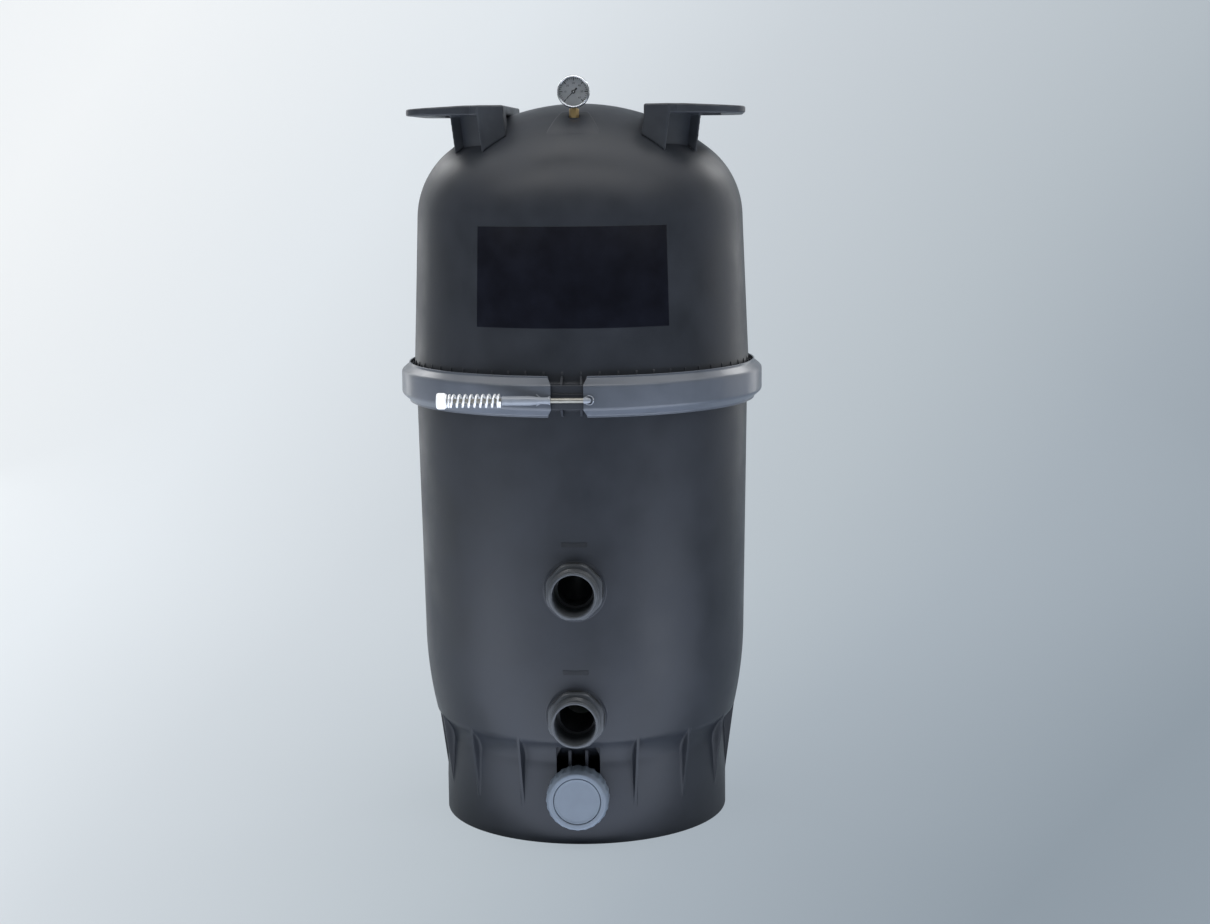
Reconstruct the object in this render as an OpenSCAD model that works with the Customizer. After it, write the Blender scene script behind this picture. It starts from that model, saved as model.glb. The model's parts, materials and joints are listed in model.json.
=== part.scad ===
// Cartridge filter: a two-part moulded tank closed by a band clamp, four pleated cartridges
// standing on a collecting manifold, two bulkhead ports, a drain and a pressure gauge.
// Origin on the floor at the middle of the base, +Z up, ports towards -Y.

/* [Base and belly] */
// Outer radius of the skirt at the floor
base_r = 230; // [227:0.5:233]
// How much narrower the skirt is under the belly than at the floor
skirt_taper = 4; // [3:0.5:6]
// Height at which the skirt starts to narrow
skirt_step_z = 54; // [45:1:65]
// Wall of the skirt
skirt_t = 6; // [5:0.5:7]
// Height of the fold between skirt and belly
fold_z = 158; // [155:1:162]
// Radius of the turn at the fold
fold_r = 20; // [17:1:22]
// How far the belly stands out beyond the skirt's foot
belly_out = 30.4; // [28:0.2:32]
// Height of the belly's widest place above the fold
belly_h = 152; // [140:2:165]
// Underside of the bowl at its middle
sump_z = 48; // [44:1:52]
// Wall of both tank halves
tank_t = 7; // [6:0.5:8]
// Number of fin places round the skirt, the front one left open for the drain
fin_count = 16; // [12:2:20]
// Thickness of a fin
fin_t = 5; // [4:0.5:7]
// Number of webs under the bowl
web_count = 12; // [8:2:14]
// Thickness of a web
web_t = 5; // [4:0.5:7]
// Height of the webs above the floor
web_z = 14; // [8:1:20]
// Radius of the centre foot
foot_r = 28; // [22:1:34]
// Width of the opening in the front of the skirt
slot_w = 67.7; // [60:0.5:74]

/* [Flanges] */
// How much wider the lower wall is under its flange than at the belly
rim_out = 6.4; // [5:0.2:8]
// How far both flanges stand out from the lower wall
flange_out = 18.2; // [17:0.2:19]
// Height of the joint between the tank halves
seam_z = 714.4; // [711:0.2:717]
// How far the clamp's middle lies below the joint
clamp_drop = 6; // [4:0.2:8]
// Number of gusset ribs round each flange
gusset_count = 60; // [40:2:64]
// Thickness of a gusset rib
gusset_t = 3.5; // [2.5:0.25:4.5]
// Space between a gusset rib and the clamp's lip
gusset_gap = 2.5; // [1.5:0.25:4]
// Reach of the gusset ribs from the clamp's middle
gusset_reach = 48; // [42:1:54]

/* [Lid] */
// How much wider the lid wall is above its flange than the lower wall under it
lid_out = 2.9; // [2:0.1:4]
// How much the lid wall narrows up to the shoulder
lid_taper = 10.2; // [8:0.2:12]
// Height of the lid wall from the joint to the shoulder
lid_wall_h = 250.6; // [240:0.2:260]
// Radius of the crown
crown_r = 333; // [325:1:340]
// Height of the crown above the shoulder
crown_h = 179.8; // [175:0.2:185]

/* [Clamp] */
// How far the band's face lies outside the flanges
clamp_out = 5; // [4:0.25:6]
// Sheet thickness of the band
clamp_t = 2.5; // [2:0.1:3]
// Half height of the flat face of the band
clamp_half = 18; // [17:0.25:19]
// How far the band's lips lie inside the flanges' edge
lip_in = 7; // [6:0.25:8]
// Height of the sloping part of the band
cone_h = 10; // [9:0.25:11]
// Height of the turned edge of the band
lip_h = 3.2; // [2:0.1:4]
// Gap left between the band and the flanges
seat_gap = 0.3; // [0.2:0.05:0.5]
// Left end of the band
gap_left = -30.5; // [-34:0.5:-26]
// Right end of the band
gap_right = 18.4; // [14:0.5:24]
// Diameter of the tension bolt
bolt_d = 7.8; // [6.5:0.1:9]
// Height of the bolt above the clamp's middle
bolt_dz = -3.6; // [-6:0.2:2]
// Distance from the band's outer face to the bolt's axis
bolt_off = 1.5; // [1:0.1:3]
// Outer diameter of the barrel on the band
barrel_d = 14; // [12.5:0.25:16]
// Free end of the barrel
barrel_end = -103; // [-112:1:-94]
// Wire diameter of the spring
wire_d = 3.1; // [2.2:0.1:3.6]
// Outer diameter of the spring
spring_d = 21; // [18:0.5:24]
// Length of the spring
spring_l = 81.3; // [70:0.5:90]
// Open turns of the spring
spring_turns = 8; // [6:1:10]
// Thickness of the washer beside the nut
washer_t = 1.5; // [1:0.1:2.5]
// Width of the clamp nut across its corners
clamp_nut_w = 24.4; // [20:0.2:26]
// Length of the clamp nut
clamp_nut_l = 13.6; // [10:0.2:16]
// Running clearance of a nut or shaft
run_gap = 0.05; // [0.02:0.01:0.09]

/* [Ports] */
// Height of the outlet above the fold
outlet_up = 52.5; // [50:0.5:56]
// Height of the inlet above the outlet
port_spacing = 200.5; // [190:0.5:220]
// Bore radius of both ports
port_bore_r = 31.35; // [28:0.05:32.5]
// Outer radius of a port's threaded end
port_r = 38.2; // [37:0.1:40]
// Length of a port's threaded end
port_l = 26; // [20:0.5:30]
// How far the corners of the eight-sided collar stand out from the threaded end
collar_out = 7.8; // [7:0.1:9]
// Length of the collar
collar_l = 12; // [9:0.5:14]
// Thickness of a port gasket
gasket_t = 2; // [1.5:0.1:3]
// How far the inlet boss stands out from the wall
inlet_stand = 2; // [1.5:0.25:5]
// Thickness of the inlet boss
inlet_boss_l = 17; // [15:0.5:20]
// How far the outlet boss stands out from the wall
outlet_stand = 6.5; // [6:0.25:8]
// Thickness of the outlet boss
outlet_boss_l = 27; // [25:0.5:29]
// Radius of the barrel of a port through the wall
port_barrel_r = 36.5; // [35.5:0.1:37.5]
// Thickness of a lock nut
lock_nut_t = 12; // [9:0.5:12.5]
// How far the corners of a lock nut stand out from the barrel
lock_nut_out = 12; // [10:0.25:12.5]

/* [Drain] */
// Height of the drain
drain_z = 80.6; // [78:0.2:84]
// Bore radius of the drain
drain_bore_r = 25; // [20:0.5:28]
// Outer radius of the drain's threaded end
drain_r = 41; // [40:0.1:42]
// Wall of the drain neck behind the thread
drain_neck_t = 7; // [5:0.5:9]
// How far the drain thread stands out from the skirt's foot
drain_out = 16; // [13:0.5:19]
// Length of the drain thread
drain_thread_l = 26; // [22:0.5:30]
// How far the drain ring nut stands out from the thread
drain_nut_out = 8.8; // [7:0.1:11]
// Length of the drain ring nut
drain_nut_l = 35; // [30:0.5:38]
// How far the edge of the blank disc lies inside the thread
blank_in = 4.7; // [3:0.1:7]
// Thickness of the blank's flange
blank_flange_t = 6; // [4:0.5:8]
// Number of grip ribs on the ring nut
grip_count = 24; // [12:2:30]

/* [Gauge] */
// Height of the gauge's middle above the crown
gauge_up = 15.2; // [13:0.2:21]
// Distance of the gauge stem in front of the tank's middle
gauge_off = 128; // [120:1:136]
// Outer radius of the gauge case
gauge_r = 24; // [22:0.25:26]
// Depth of the gauge case
gauge_depth = 23; // [20:0.5:26]
// Radius of the stem's thread
stem_r = 6.6; // [5:0.1:7]
// Width across the corners of the stem's hexagon
stem_hex_w = 16.6; // [14:0.2:18]
// Length of the pointer from its pivot to its tip
pointer_l = 17; // [14:0.5:18]
// How far the gauge's seat lies below the top of the crown
pad_drop = 24.3; // [22:0.1:26]

/* [Handles] */
// Inner edge of a handle
handle_in = 107; // [100:1:112]
// How far a handle reaches out past the shoulder
handle_past = 2.5; // [-10:0.5:10]
// Half length of a handle
handle_half = 145; // [135:1:150]
// How far the underside of a grip lies below the top of the crown
handle_drop = 18.8; // [15:0.2:22]
// Thickness of the grip at its tip
grip_tip_t = 10; // [9:0.5:12]
// Thickness of the grip over the posts
grip_post_t = 15; // [13:0.5:17]
// Width of the bar round the hand opening
grip_w = 36; // [30:1:40]
// Wall of a handle post
post_t = 6; // [5:0.5:8]

/* [Cartridges] */
// Space between a cartridge and the belly's wall
wall_gap = 34.4; // [30:0.2:40]
// Half the space between two cartridges
cap_gap = 2.9; // [2:0.1:5]
// Thickness of an end cap
cap_t = 14; // [10:0.5:18]
// Height of the cartridges above the manifold's drum
cart_up = 6.5; // [5:0.5:10]
// How far the cartridges end below the shoulder
cart_room = 23; // [15:1:60]
// Number of pleats in a cartridge
pleats = 60; // [40:2:72]
// Thickness of the pleated sheet
sheet_t = 1.1; // [0.8:0.1:1.4]
// Outer radius of the cartridge's core
core_r = 38; // [36:0.5:40]
// Wall of the core
core_t = 3; // [2:0.5:4]

/* [Hidden] */
eps = 0.01;
// clearance between pieces that are pushed into each other and stay there
slip = 0.15;
skirt_top_r = base_r - skirt_taper;
belly_r = base_r + belly_out;
belly_z = fold_z + belly_h;
lower_rim_r = belly_r + rim_out;
flange_r = lower_rim_r + flange_out;
mid = seam_z - clamp_drop;
clamp_r = flange_r + clamp_out;
lip_r = flange_r - lip_in;
gusset_r = lip_r - clamp_t - gusset_gap;
lid_foot_r = lower_rim_r + lid_out;
shoulder_r = lid_foot_r - lid_taper;
shoulder_z = seam_z + lid_wall_h;
apex_z = shoulder_z + crown_h;
// a sloping clamp face that is drawn in by a gap meets radius r at this height from the middle
slant = sqrt(pow(clamp_r - lip_r, 2) + pow(cone_h, 2)) / cone_h;
function cone_at(r, gap) = clamp_half
  + (clamp_r - gap * slant - r) * cone_h / (clamp_r - lip_r);
flange_half = cone_at(flange_r, clamp_t + seat_gap);
lip_top = clamp_half + cone_h + lip_h;

function arc(cx, cz, r, a0, a1, n) =
  [for (i = [0:n]) let (a = a0 + (a1 - a0) * i / n) [cx + r * cos(a), cz + r * sin(a)]];

// belly: an arc that is upright at belly_z and meets the turn at the fold
turn_a = 12.4;
turn_end = [skirt_top_r + fold_r * cos(turn_a), fold_z + fold_r - fold_r * sin(turn_a)];
belly_dz = belly_z - turn_end[1];
belly_dr = belly_r - turn_end[0];
belly_arc_r = (belly_dz * belly_dz + belly_dr * belly_dr) / (2 * belly_dr);
belly_a = asin(belly_dz / belly_arc_r);
bowl_a = skirt_top_r - skirt_t + 2;
bowl_b = fold_z - sump_z;
function belly(gap) = concat(
  arc(skirt_top_r, fold_z + fold_r, fold_r - gap, -90, -turn_a, 8),
  arc(belly_r - belly_arc_r, belly_z, belly_arc_r - gap, -belly_a, 0, 10));
function bowl(gap) = concat(
  arc_oval(bowl_a - gap, bowl_b - gap, -90, 0, 18),
  belly(gap));
function arc_oval(a, b, a0, a1, n) =
  [for (i = [0:n]) let (t = a0 + (a1 - a0) * i / n) [a * cos(t), fold_z + b * sin(t)]];
// outer radius of the lower tank at a height above the belly
function lower_r(z) = z > belly_z
  ? belly_r + rim_out * (z - belly_z) / (seam_z - belly_z)
  : belly_r - belly_arc_r + sqrt(pow(belly_arc_r, 2) - pow(z - belly_z, 2));

// lid: wall, shoulder arc and crown, tangent to each other
lid_draft = atan((lid_foot_r - shoulder_r) / (shoulder_z - seam_z));
crown_c = apex_z - crown_r;
rise = shoulder_z - crown_c;
knuckle_r = (crown_r * crown_r - shoulder_r * shoulder_r - rise * rise)
  / (2 * (crown_r - shoulder_r));
knuckle_x = shoulder_r - knuckle_r;
knuckle_a = atan2(rise, knuckle_x);
function lid_curve(gap) = concat(
  arc(knuckle_x, shoulder_z, knuckle_r - gap, lid_draft, knuckle_a, 16),
  arc(0, crown_c, crown_r - gap, knuckle_a, 90, 20));
function dome_z(r, gap) = crown_c + sqrt(pow(crown_r - gap, 2) - r * r);

// seal between the flanges
seal_d = 6.4;
seal_r = flange_r - 13;
groove_w = seal_d + 2 * slip;
groove_d = seal_d + 2 * slip;

// ports
outlet_z = fold_z + outlet_up;
inlet_z = outlet_z + port_spacing;
inlet_face = lower_r(inlet_z) + inlet_stand;
inlet_back = inlet_face - inlet_boss_l;
outlet_face = lower_r(outlet_z) + outlet_stand;
outlet_back = outlet_face - outlet_boss_l;
collar_r = port_r + collar_out;
boss_r = collar_r;
lock_nut_r = port_barrel_r + lock_nut_out;
port_lead = 2;
inlet_front = inlet_face + gasket_t + collar_l + port_l;
outlet_front = outlet_face + gasket_t + collar_l + port_l;
barrel_past = 1.5;

// drain
drain_neck_r = drain_bore_r + drain_neck_t;
drain_face = base_r + drain_out;
drain_nut_r = drain_r + drain_nut_out;
blank_r = drain_r - blank_in;
blank_edge_r = drain_r - 0.6;
drain_open_r = drain_r + 3;
blank_play = 0.3;
nut_thread_l = 13;
nut_front = drain_face + drain_nut_l - nut_thread_l;
drain_rib_x = 13;
drain_rib_t = 4.5;
neck_root = bowl_a - 90;
plug_seal_r = (drain_r + drain_bore_r) / 2;
plug_seal_d = 2.6;
plug_groove_w = 4.6;
plug_groove_d = 3.2;
nut_bevel_l = 7;
nut_bevel_r = 4;
grip_rib_w = 3.2;
grip_rib_h = 2;

// clamp bolt
bolt_y = -(clamp_r + bolt_off);
bolt_z = mid + bolt_dz;
bolt_r = bolt_d / 2;
spring_x = barrel_end - slip;
washer_x = spring_x - spring_l - slip;
nut_x = washer_x - washer_t - slip;
bolt_tip = nut_x - clamp_nut_l - 1;
bolt_anchor = gap_right + 22;
closed_turns = 1.25;
closed_pitch = 1.06 * wire_d;

// handles
handle_out = shoulder_r + handle_past;
handle_z = apex_z - handle_drop;
post_w = 45;
post_nose = 38;
post_step = 14;

// manifold and cartridges
arm_r = 33;
arm_t = 4;
drum_r = 75;
drum_h = 70;
cart_circle_r = (belly_r - tank_t - wall_gap + cap_gap) / (1 + sqrt(0.5));
cap_r = cart_circle_r * sqrt(0.5) - cap_gap;
cart_z = outlet_z + drum_h / 2 + cart_up;
cart_top = shoulder_z - cart_room;
cart_l = cart_top - cart_z;
cup_r = 37;
cup_t = 4;
stub_r = 29;
stub_l = 24;
leg_r = 14;
cap_bore_r = stub_r + slip;
pipe_r = port_bore_r - slip;
pipe_t = 4;
outlet_pipe_end = drum_r + 55;
tube_r = 8;
tube_t = 2;
top_plate_t = 12;
strainer_z = cart_top + 70;
strainer_l = 48;
strainer_r = 14;
diffuser_y = -(inlet_back - 50);
diffuser_r = 33;
diffuser_t = 3.5;
diffuser_h = 110;

// gauge
gauge_z = apex_z + gauge_up;
pad_z = apex_z - pad_drop;
gauge_seat_r = stem_hex_w / 2 + 2.7;
gauge_seat_h = 12;
case_back = gauge_off - 11;
case_front = case_back + gauge_depth;
case_t = 1.2;
dial_y = case_front - 5;
dial_r = gauge_r - case_t - 0.4;
dial_t = 1;
pivot_r = 1.2;
pointer_t = 0.8;
pointer_y = dial_y + 1.6;
lens_t = 1.6;
bezel_t = 1.6;
bezel_r = gauge_r + 1;
bezel_lip = 2.6;
bezel_gap = 0.3;
bezel_l = 7;
neck_r = 4.4;
neck_in = 4;

// cylinder that runs forward, from y = -from to y = -to
module forward(r, from, to, x = 0, z = 0) {
  translate([x, -from, z])
    rotate([90, 0, 0])
      cylinder(r = r, h = to - from);
}

// the same with a cone at its front end
module forward_cone(r1, r2, from, to, z) {
  translate([0, -from, z])
    rotate([90, 0, 0])
      cylinder(r1 = r1, r2 = r2, h = to - from);
}

// cylinder that runs to the right, from x = from to x = to, on the bolt's axis
module along_bolt(r, from, to) {
  translate([from, bolt_y, bolt_z])
    rotate([0, 90, 0])
      cylinder(r = r, h = to - from);
}

// inside of the lower tank, drawn in by a gap
module cavity(gap) {
  rotate_extrude()
    polygon(concat(bowl(tank_t + gap),
      [[lower_rim_r - tank_t - gap, seam_z + 1], [0, seam_z + 1]]));
}

// upright plate under the bowl, from radius r0 to r1, with its top inside the bowl's wall
module under_web(r0, r1, z0, t) {
  a = bowl_a - tank_t / 2;
  b = bowl_b - tank_t / 2;
  steps = 12;
  top_r = min(r1, a - 1);
  rotate([90, 0, -90])
    linear_extrude(t, center = true)
      polygon(concat([[r0, z0], [r1, z0], [r1, fold_z + 1]],
        [for (i = [0:steps]) let (r = top_r + (r0 - top_r) * i / steps)
          [r, fold_z - b * sqrt(1 - r * r / (a * a))]]));
}

// ring that the tank stands on, open at the front for the drain
module skirt() {
  depth = skirt_t + 8;
  edge = 1.5;
  difference() {
    rotate_extrude()
      polygon([[base_r - skirt_t, 0], [base_r - edge, 0], [base_r, edge],
        [base_r, skirt_step_z], [skirt_top_r, fold_z], [skirt_top_r, fold_z + 2],
        [skirt_top_r - skirt_t, fold_z + 2]]);
    translate([-slot_w / 2, -base_r - 1, drain_z])
      cube([slot_w, depth, fold_z - 1 - drain_z]);
    forward(drain_open_r, base_r - depth, base_r + 1, 0, drain_z);
  }
}

module fin() {
  in_wall = fold_r - tank_t / 2;
  rotate([90, 0, -90])
    linear_extrude(fin_t, center = true)
      polygon([[base_r - skirt_t + 1, skirt_step_z], [base_r - 0.5, skirt_step_z],
        [turn_end[0] - 0.2, turn_end[1]],
        [skirt_top_r + in_wall * cos(25), fold_z + fold_r - in_wall * sin(25)],
        [skirt_top_r - 2, fold_z + tank_t / 2]]);
}

// rib between a wall and a flange; side is 1 above the clamp's middle and -1 below it
module gusset(side, wall_r) {
  seat = clamp_t + seat_gap;
  slope_z = cone_at(gusset_r, seat);
  translate([0, 0, mid])
    rotate([90, 0, -90])
      linear_extrude(gusset_t, center = true)
        polygon([[wall_r - tank_t + 2, side * (flange_half - 3)],
          [flange_r - 1, side * (flange_half - 3)],
          [flange_r - 1, side * cone_at(flange_r - 1, seat)],
          [gusset_r, side * slope_z],
          [gusset_r, side * (gusset_reach - 8)],
          [wall_r - 1, side * gusset_reach],
          [wall_r - tank_t + 2, side * gusset_reach]]);
}

module port_boss(z, face, back) {
  forward(boss_r, back, face, 0, z);
}

module lower_tank() color("#474b52") {
  difference() {
    union() {
      difference() {
        union() {
          rotate_extrude()
            polygon(concat(bowl(0),
              [[lower_rim_r, mid - flange_half], [flange_r - 1, mid - flange_half],
               [flange_r, mid - flange_half + 1], [flange_r, seam_z], [0, seam_z]]));
          skirt();
          for (i = [1:fin_count - 1])
            rotate([0, 0, i * 360 / fin_count])
              fin();
          for (i = [0:web_count - 1])
            rotate([0, 0, (i + 0.5) * 360 / web_count])
              under_web(foot_r - 3, base_r - skirt_t + 1, web_z, web_t);
          cylinder(r = foot_r, h = sump_z + tank_t / 2);
          for (x = [-drain_rib_x, drain_rib_x])
            translate([x, 0, 0])
              under_web(neck_root + 24, skirt_top_r - skirt_t / 2, drain_z, drain_rib_t);
          forward(drain_neck_r, neck_root, drain_face - 1, 0, drain_z);
        }
        cavity(0);
      }
      forward(drain_r, drain_face - drain_thread_l, drain_face, 0, drain_z);
      port_boss(inlet_z, inlet_face, inlet_back);
      port_boss(outlet_z, outlet_face, outlet_back);
      for (i = [0:gusset_count - 1])
        rotate([0, 0, (i + 0.5) * 360 / gusset_count])
          gusset(-1, lower_r(mid - gusset_reach));
    }
    forward(drain_bore_r, neck_root - 10, drain_face + 1, 0, drain_z);
    forward(port_barrel_r + slip, inlet_back - 10, inlet_face + 1, 0, inlet_z);
    forward(port_barrel_r + slip, outlet_back - 10, outlet_face + 1, 0, outlet_z);
    translate([0, 0, seam_z - groove_d])
      difference() {
        cylinder(r = seal_r + groove_w / 2, h = groove_d + 1);
        translate([0, 0, -1])
          cylinder(r = seal_r - groove_w / 2, h = groove_d + 3);
      }
  }
}

module lid_solid(gap) {
  rotate_extrude()
    polygon(concat([[0, seam_z - (gap > 0 ? 1 : 0)],
      [lid_foot_r - gap, seam_z - (gap > 0 ? 1 : 0)]], lid_curve(gap)));
}

module upper_tank() color("#474b52") {
  hole_z = pad_z - 24;
  difference() {
    union() {
      lid_solid(0);
      rotate_extrude()
        polygon([[lid_foot_r - tank_t, seam_z], [flange_r, seam_z],
          [flange_r, mid + flange_half - 1], [flange_r - 1, mid + flange_half],
          [lid_foot_r - tank_t, mid + flange_half]]);
      for (i = [0:gusset_count - 1])
        rotate([0, 0, (i + 0.5) * 360 / gusset_count])
          gusset(1, lid_foot_r - 2);
      gauge_pad();
    }
    lid_solid(tank_t);
    translate([0, -gauge_off, hole_z])
      cylinder(r = stem_r + slip, h = pad_z - hole_z + 1);
    translate([0, -gauge_off, pad_z])
      cylinder(r = gauge_seat_r, h = gauge_seat_h);
  }
}

// sloping pad that spreads down the crown, with a boss that the gauge stem seats on
module gauge_pad() {
  head = gauge_off - 21;
  foot = gauge_off + 38;
  toe = foot + 12;
  head_w = 19;
  foot_w = 41;
  proud = tank_t / 2;
  intersection() {
    translate([0, 0, dome_z(toe, 2 * tank_t)])
      linear_extrude(foot)
        polygon([[-head_w, -head], [-foot_w, -toe], [foot_w, -toe], [head_w, -head]]);
    rotate([90, 0, -90])
      linear_extrude(3 * foot_w, center = true)
        polygon([[head, dome_z(head, tank_t / 2)], [head, dome_z(head, 0) + proud],
          [foot, dome_z(foot, 0) + proud], [toe, dome_z(toe, 0)],
          [toe, dome_z(toe, tank_t / 2)], [foot, dome_z(foot, tank_t / 2)]]);
  }
  translate([0, -gauge_off, pad_z - gauge_seat_h])
    cylinder(r = gauge_seat_r, h = gauge_seat_h);
}

// outline of a grip, seen from above, on the +X side
module grip_outline(inset) {
  round_out = 44 - inset;
  round_in = 14 - inset / 4;
  x0 = handle_in + inset;
  x1 = handle_out - inset;
  h = handle_half - inset;
  union() {
    translate([x0, -h + round_in])
      square([x1 - x0, 2 * (h - round_in)] - [round_out, 0]);
    translate([x0 + round_in, -h])
      square([x1 - x0 - round_in - round_out, 2 * h]);
    translate([x1 - round_out - 1, -h + round_out])
      square([round_out + 1, 2 * (h - round_out)]);
    for (s = [-1, 1]) {
      translate([x1 - round_out, s * (h - round_out)])
        circle(r = round_out);
      translate([x0 + round_in, s * (h - round_in)])
        circle(r = round_in);
    }
  }
}

// plan of a front post: the front face, and the outward face that carries the pocket
module post_outline() {
  c = handle_half;
  polygon([[handle_in, post_w - c], [handle_in, -c], [handle_in + post_nose, -c - post_step],
    [handle_in + post_w + 42, 39 - c], [handle_in + post_w + 17, post_w + 7 - c]]);
}

module handle() {
  post_lean = 7;
  foot_drop = 90;
  top = handle_z + grip_post_t;
  room = 2 * handle_half + 2 * post_w;
  difference() {
    union() {
      intersection() {
        translate([0, 0, handle_z - 5])
          linear_extrude(grip_post_t + 10)
            union() {
              difference() {
                grip_outline(0);
                grip_outline(grip_w);
              }
              for (s = [0, 1])
                mirror([0, s, 0])
                  post_outline();
            }
        rotate([90, 0, 0])
          linear_extrude(room, center = true)
            polygon([[handle_in - 5, handle_z], [handle_out + 5, handle_z],
              [handle_out + 5, handle_z + grip_tip_t], [handle_in + 60, top],
              [handle_in - 5, top]]);
      }
      for (s = [0, 1])
        mirror([0, s, 0])
          intersection() {
            translate([handle_in, 0, handle_z + 1])
              rotate([0, post_lean, 0])
                translate([-handle_in, 0, -foot_drop])
                  difference() {
                    linear_extrude(foot_drop + 12)
                      post_outline();
                    translate([0, 0, -1])
                      linear_extrude(foot_drop + 14)
                        post_pocket();
                  }
            translate([0, -room / 2, handle_z - foot_drop])
              cube([handle_out + post_w, room, foot_drop + 8]);
          }
    }
    lid_solid(-0.05);
  }
}

// pocket that opens the outward side of a post
module post_pocket() {
  c = handle_half;
  nose = [handle_in + post_nose, -c - post_step];
  polygon([[handle_in + post_t, post_w - post_t - c], [handle_in + post_t, post_t / 2 - c],
    nose + [-1, post_t - 0.5], nose + [2.5, 2.5], nose + [7, -2],
    [handle_in + post_w + 44, 32 - c], [handle_in + post_w + 39, 37 - c],
    [handle_in + post_w + 15, post_w + 7 - post_t - c]]);
}

module left_handle() color("#474b52")
  mirror([1, 0, 0])
    handle();

module right_handle() color("#474b52")
  handle();

module tank_seal() color("#202020")
  translate([0, 0, seam_z - groove_d + seal_d / 2 + slip])
    rotate_extrude()
      translate([seal_r, 0])
        circle(d = seal_d);

module band_section() {
  inner_r = clamp_r - clamp_t;
  lip_in = lip_r - clamp_t;
  half = [[clamp_r, clamp_half], [lip_r, clamp_half + cone_h], [lip_r, lip_top],
    [lip_in, lip_top], [lip_in, cone_at(lip_in, clamp_t)],
    [inner_r, cone_at(inner_r, clamp_t)]];
  last = len(half) - 1;
  polygon(concat(half, [for (i = [0:last]) [half[last - i][0], -half[last - i][1]]]));
}

module clamp_band() color("#6e747d") {
  start = asin(gap_right / clamp_r) - 90;
  stop = 270 + asin(gap_left / clamp_r);
  past = clamp_r + 2 * barrel_d;
  barrel_root = gap_left - 6;
  pocket_from = gap_left - 50;
  pocket_to = bolt_anchor + 10;
  chamfer = 10;
  difference() {
    union() {
      translate([0, 0, mid])
        rotate([0, 0, start])
          rotate_extrude(angle = stop - start)
            band_section();
      along_bolt(barrel_d / 2, barrel_end, barrel_root);
      intersection() {
        along_bolt(barrel_d / 2, barrel_root - 2, pocket_to - 2);
        translate([0, 0, mid - clamp_half])
          difference() {
            cylinder(r = past, h = 2 * clamp_half);
            translate([0, 0, -1])
              cylinder(r = clamp_r - clamp_t + 0.2, h = 2 * clamp_half + 2);
            translate([gap_left, -past, -1])
              cube([gap_right - gap_left, 4 * barrel_d, 2 * clamp_half + 2]);
          }
      }
    }
    along_bolt(bolt_r + slip, barrel_end - 1, bolt_anchor + 1);
    difference() {
      along_bolt(barrel_d / 2 + 0.1, pocket_from, pocket_to);
      translate([0, 0, mid - lip_top])
        difference() {
          cylinder(r = past, h = 2 * lip_top);
          translate([0, 0, -1])
            cylinder(r = clamp_r - clamp_t - eps, h = 2 * lip_top + 2);
        }
      along_bolt(barrel_d / 2 + 1, barrel_end - 1, pocket_from + 8);
    }
    for (x = [gap_left, gap_right], s = [-1, 1])
      translate([x, 4 - clamp_r, mid + s * (lip_top + 2)])
        rotate([0, 45, 0])
          cube([chamfer, 3 * chamfer, chamfer], center = true);
  }
}

module tension_bolt() color("#b9bcc0")
  along_bolt(bolt_r, bolt_tip, bolt_anchor);

// centre line of the spring: closed turns at both ends and open turns between them
function spring_at(t, turns) = let (
    k = min(max((t - closed_turns) / (turns - 2 * closed_turns), 0), 1),
    left = min(t, closed_turns) * closed_pitch,
    right = max(t - (turns - closed_turns), 0) * closed_pitch,
    open = spring_l - wire_d - 2 * closed_turns * closed_pitch)
  left + k * open + right;

module clamp_spring() color("#d5d7da") {
  sides = 8;
  per_turn = 16;
  turns = spring_turns + 2 * closed_turns;
  n = per_turn * turns;
  mean_r = (spring_d - wire_d) / 2;
  points = [for (i = [0:n], j = [0:sides - 1]) let (
      t = i / per_turn,
      a = 360 * t,
      b = 360 * j / sides,
      r = mean_r + wire_d / 2 * cos(b))
    [spring_at(t, turns) + wire_d / 2 + wire_d / 2 * sin(b), r * cos(a), r * sin(a)]];
  faces = concat(
    [[for (j = [0:sides - 1]) sides - 1 - j]],
    [for (i = [0:n - 1], j = [0:sides - 1])
      [i * sides + j, i * sides + (j + 1) % sides,
       (i + 1) * sides + (j + 1) % sides, (i + 1) * sides + j]],
    [[for (j = [0:sides - 1]) n * sides + j]]);
  translate([spring_x - spring_l, bolt_y, bolt_z])
    polyhedron(points = points, faces = faces);
}

module clamp_washer() color("#d5d7da")
  difference() {
    along_bolt(spring_d / 2, washer_x - washer_t, washer_x);
    along_bolt(bolt_r + slip, washer_x - washer_t - 1, washer_x + 1);
  }

module clamp_nut() color("#e4e5e7")
  difference() {
    intersection() {
      translate([nut_x - clamp_nut_l, bolt_y, bolt_z])
        rotate([0, 90, 0])
          cylinder(r = clamp_nut_w / 2, h = clamp_nut_l, $fn = 6);
      translate([nut_x - clamp_nut_l, bolt_y, bolt_z])
        rotate([0, 90, 0])
          cylinder(r1 = clamp_nut_w / 2 - 0.9, r2 = clamp_nut_w / 2 + 4.5, h = clamp_nut_l);
    }
    along_bolt(bolt_r + run_gap, nut_x - clamp_nut_l - 1, nut_x + 1);
  }

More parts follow.
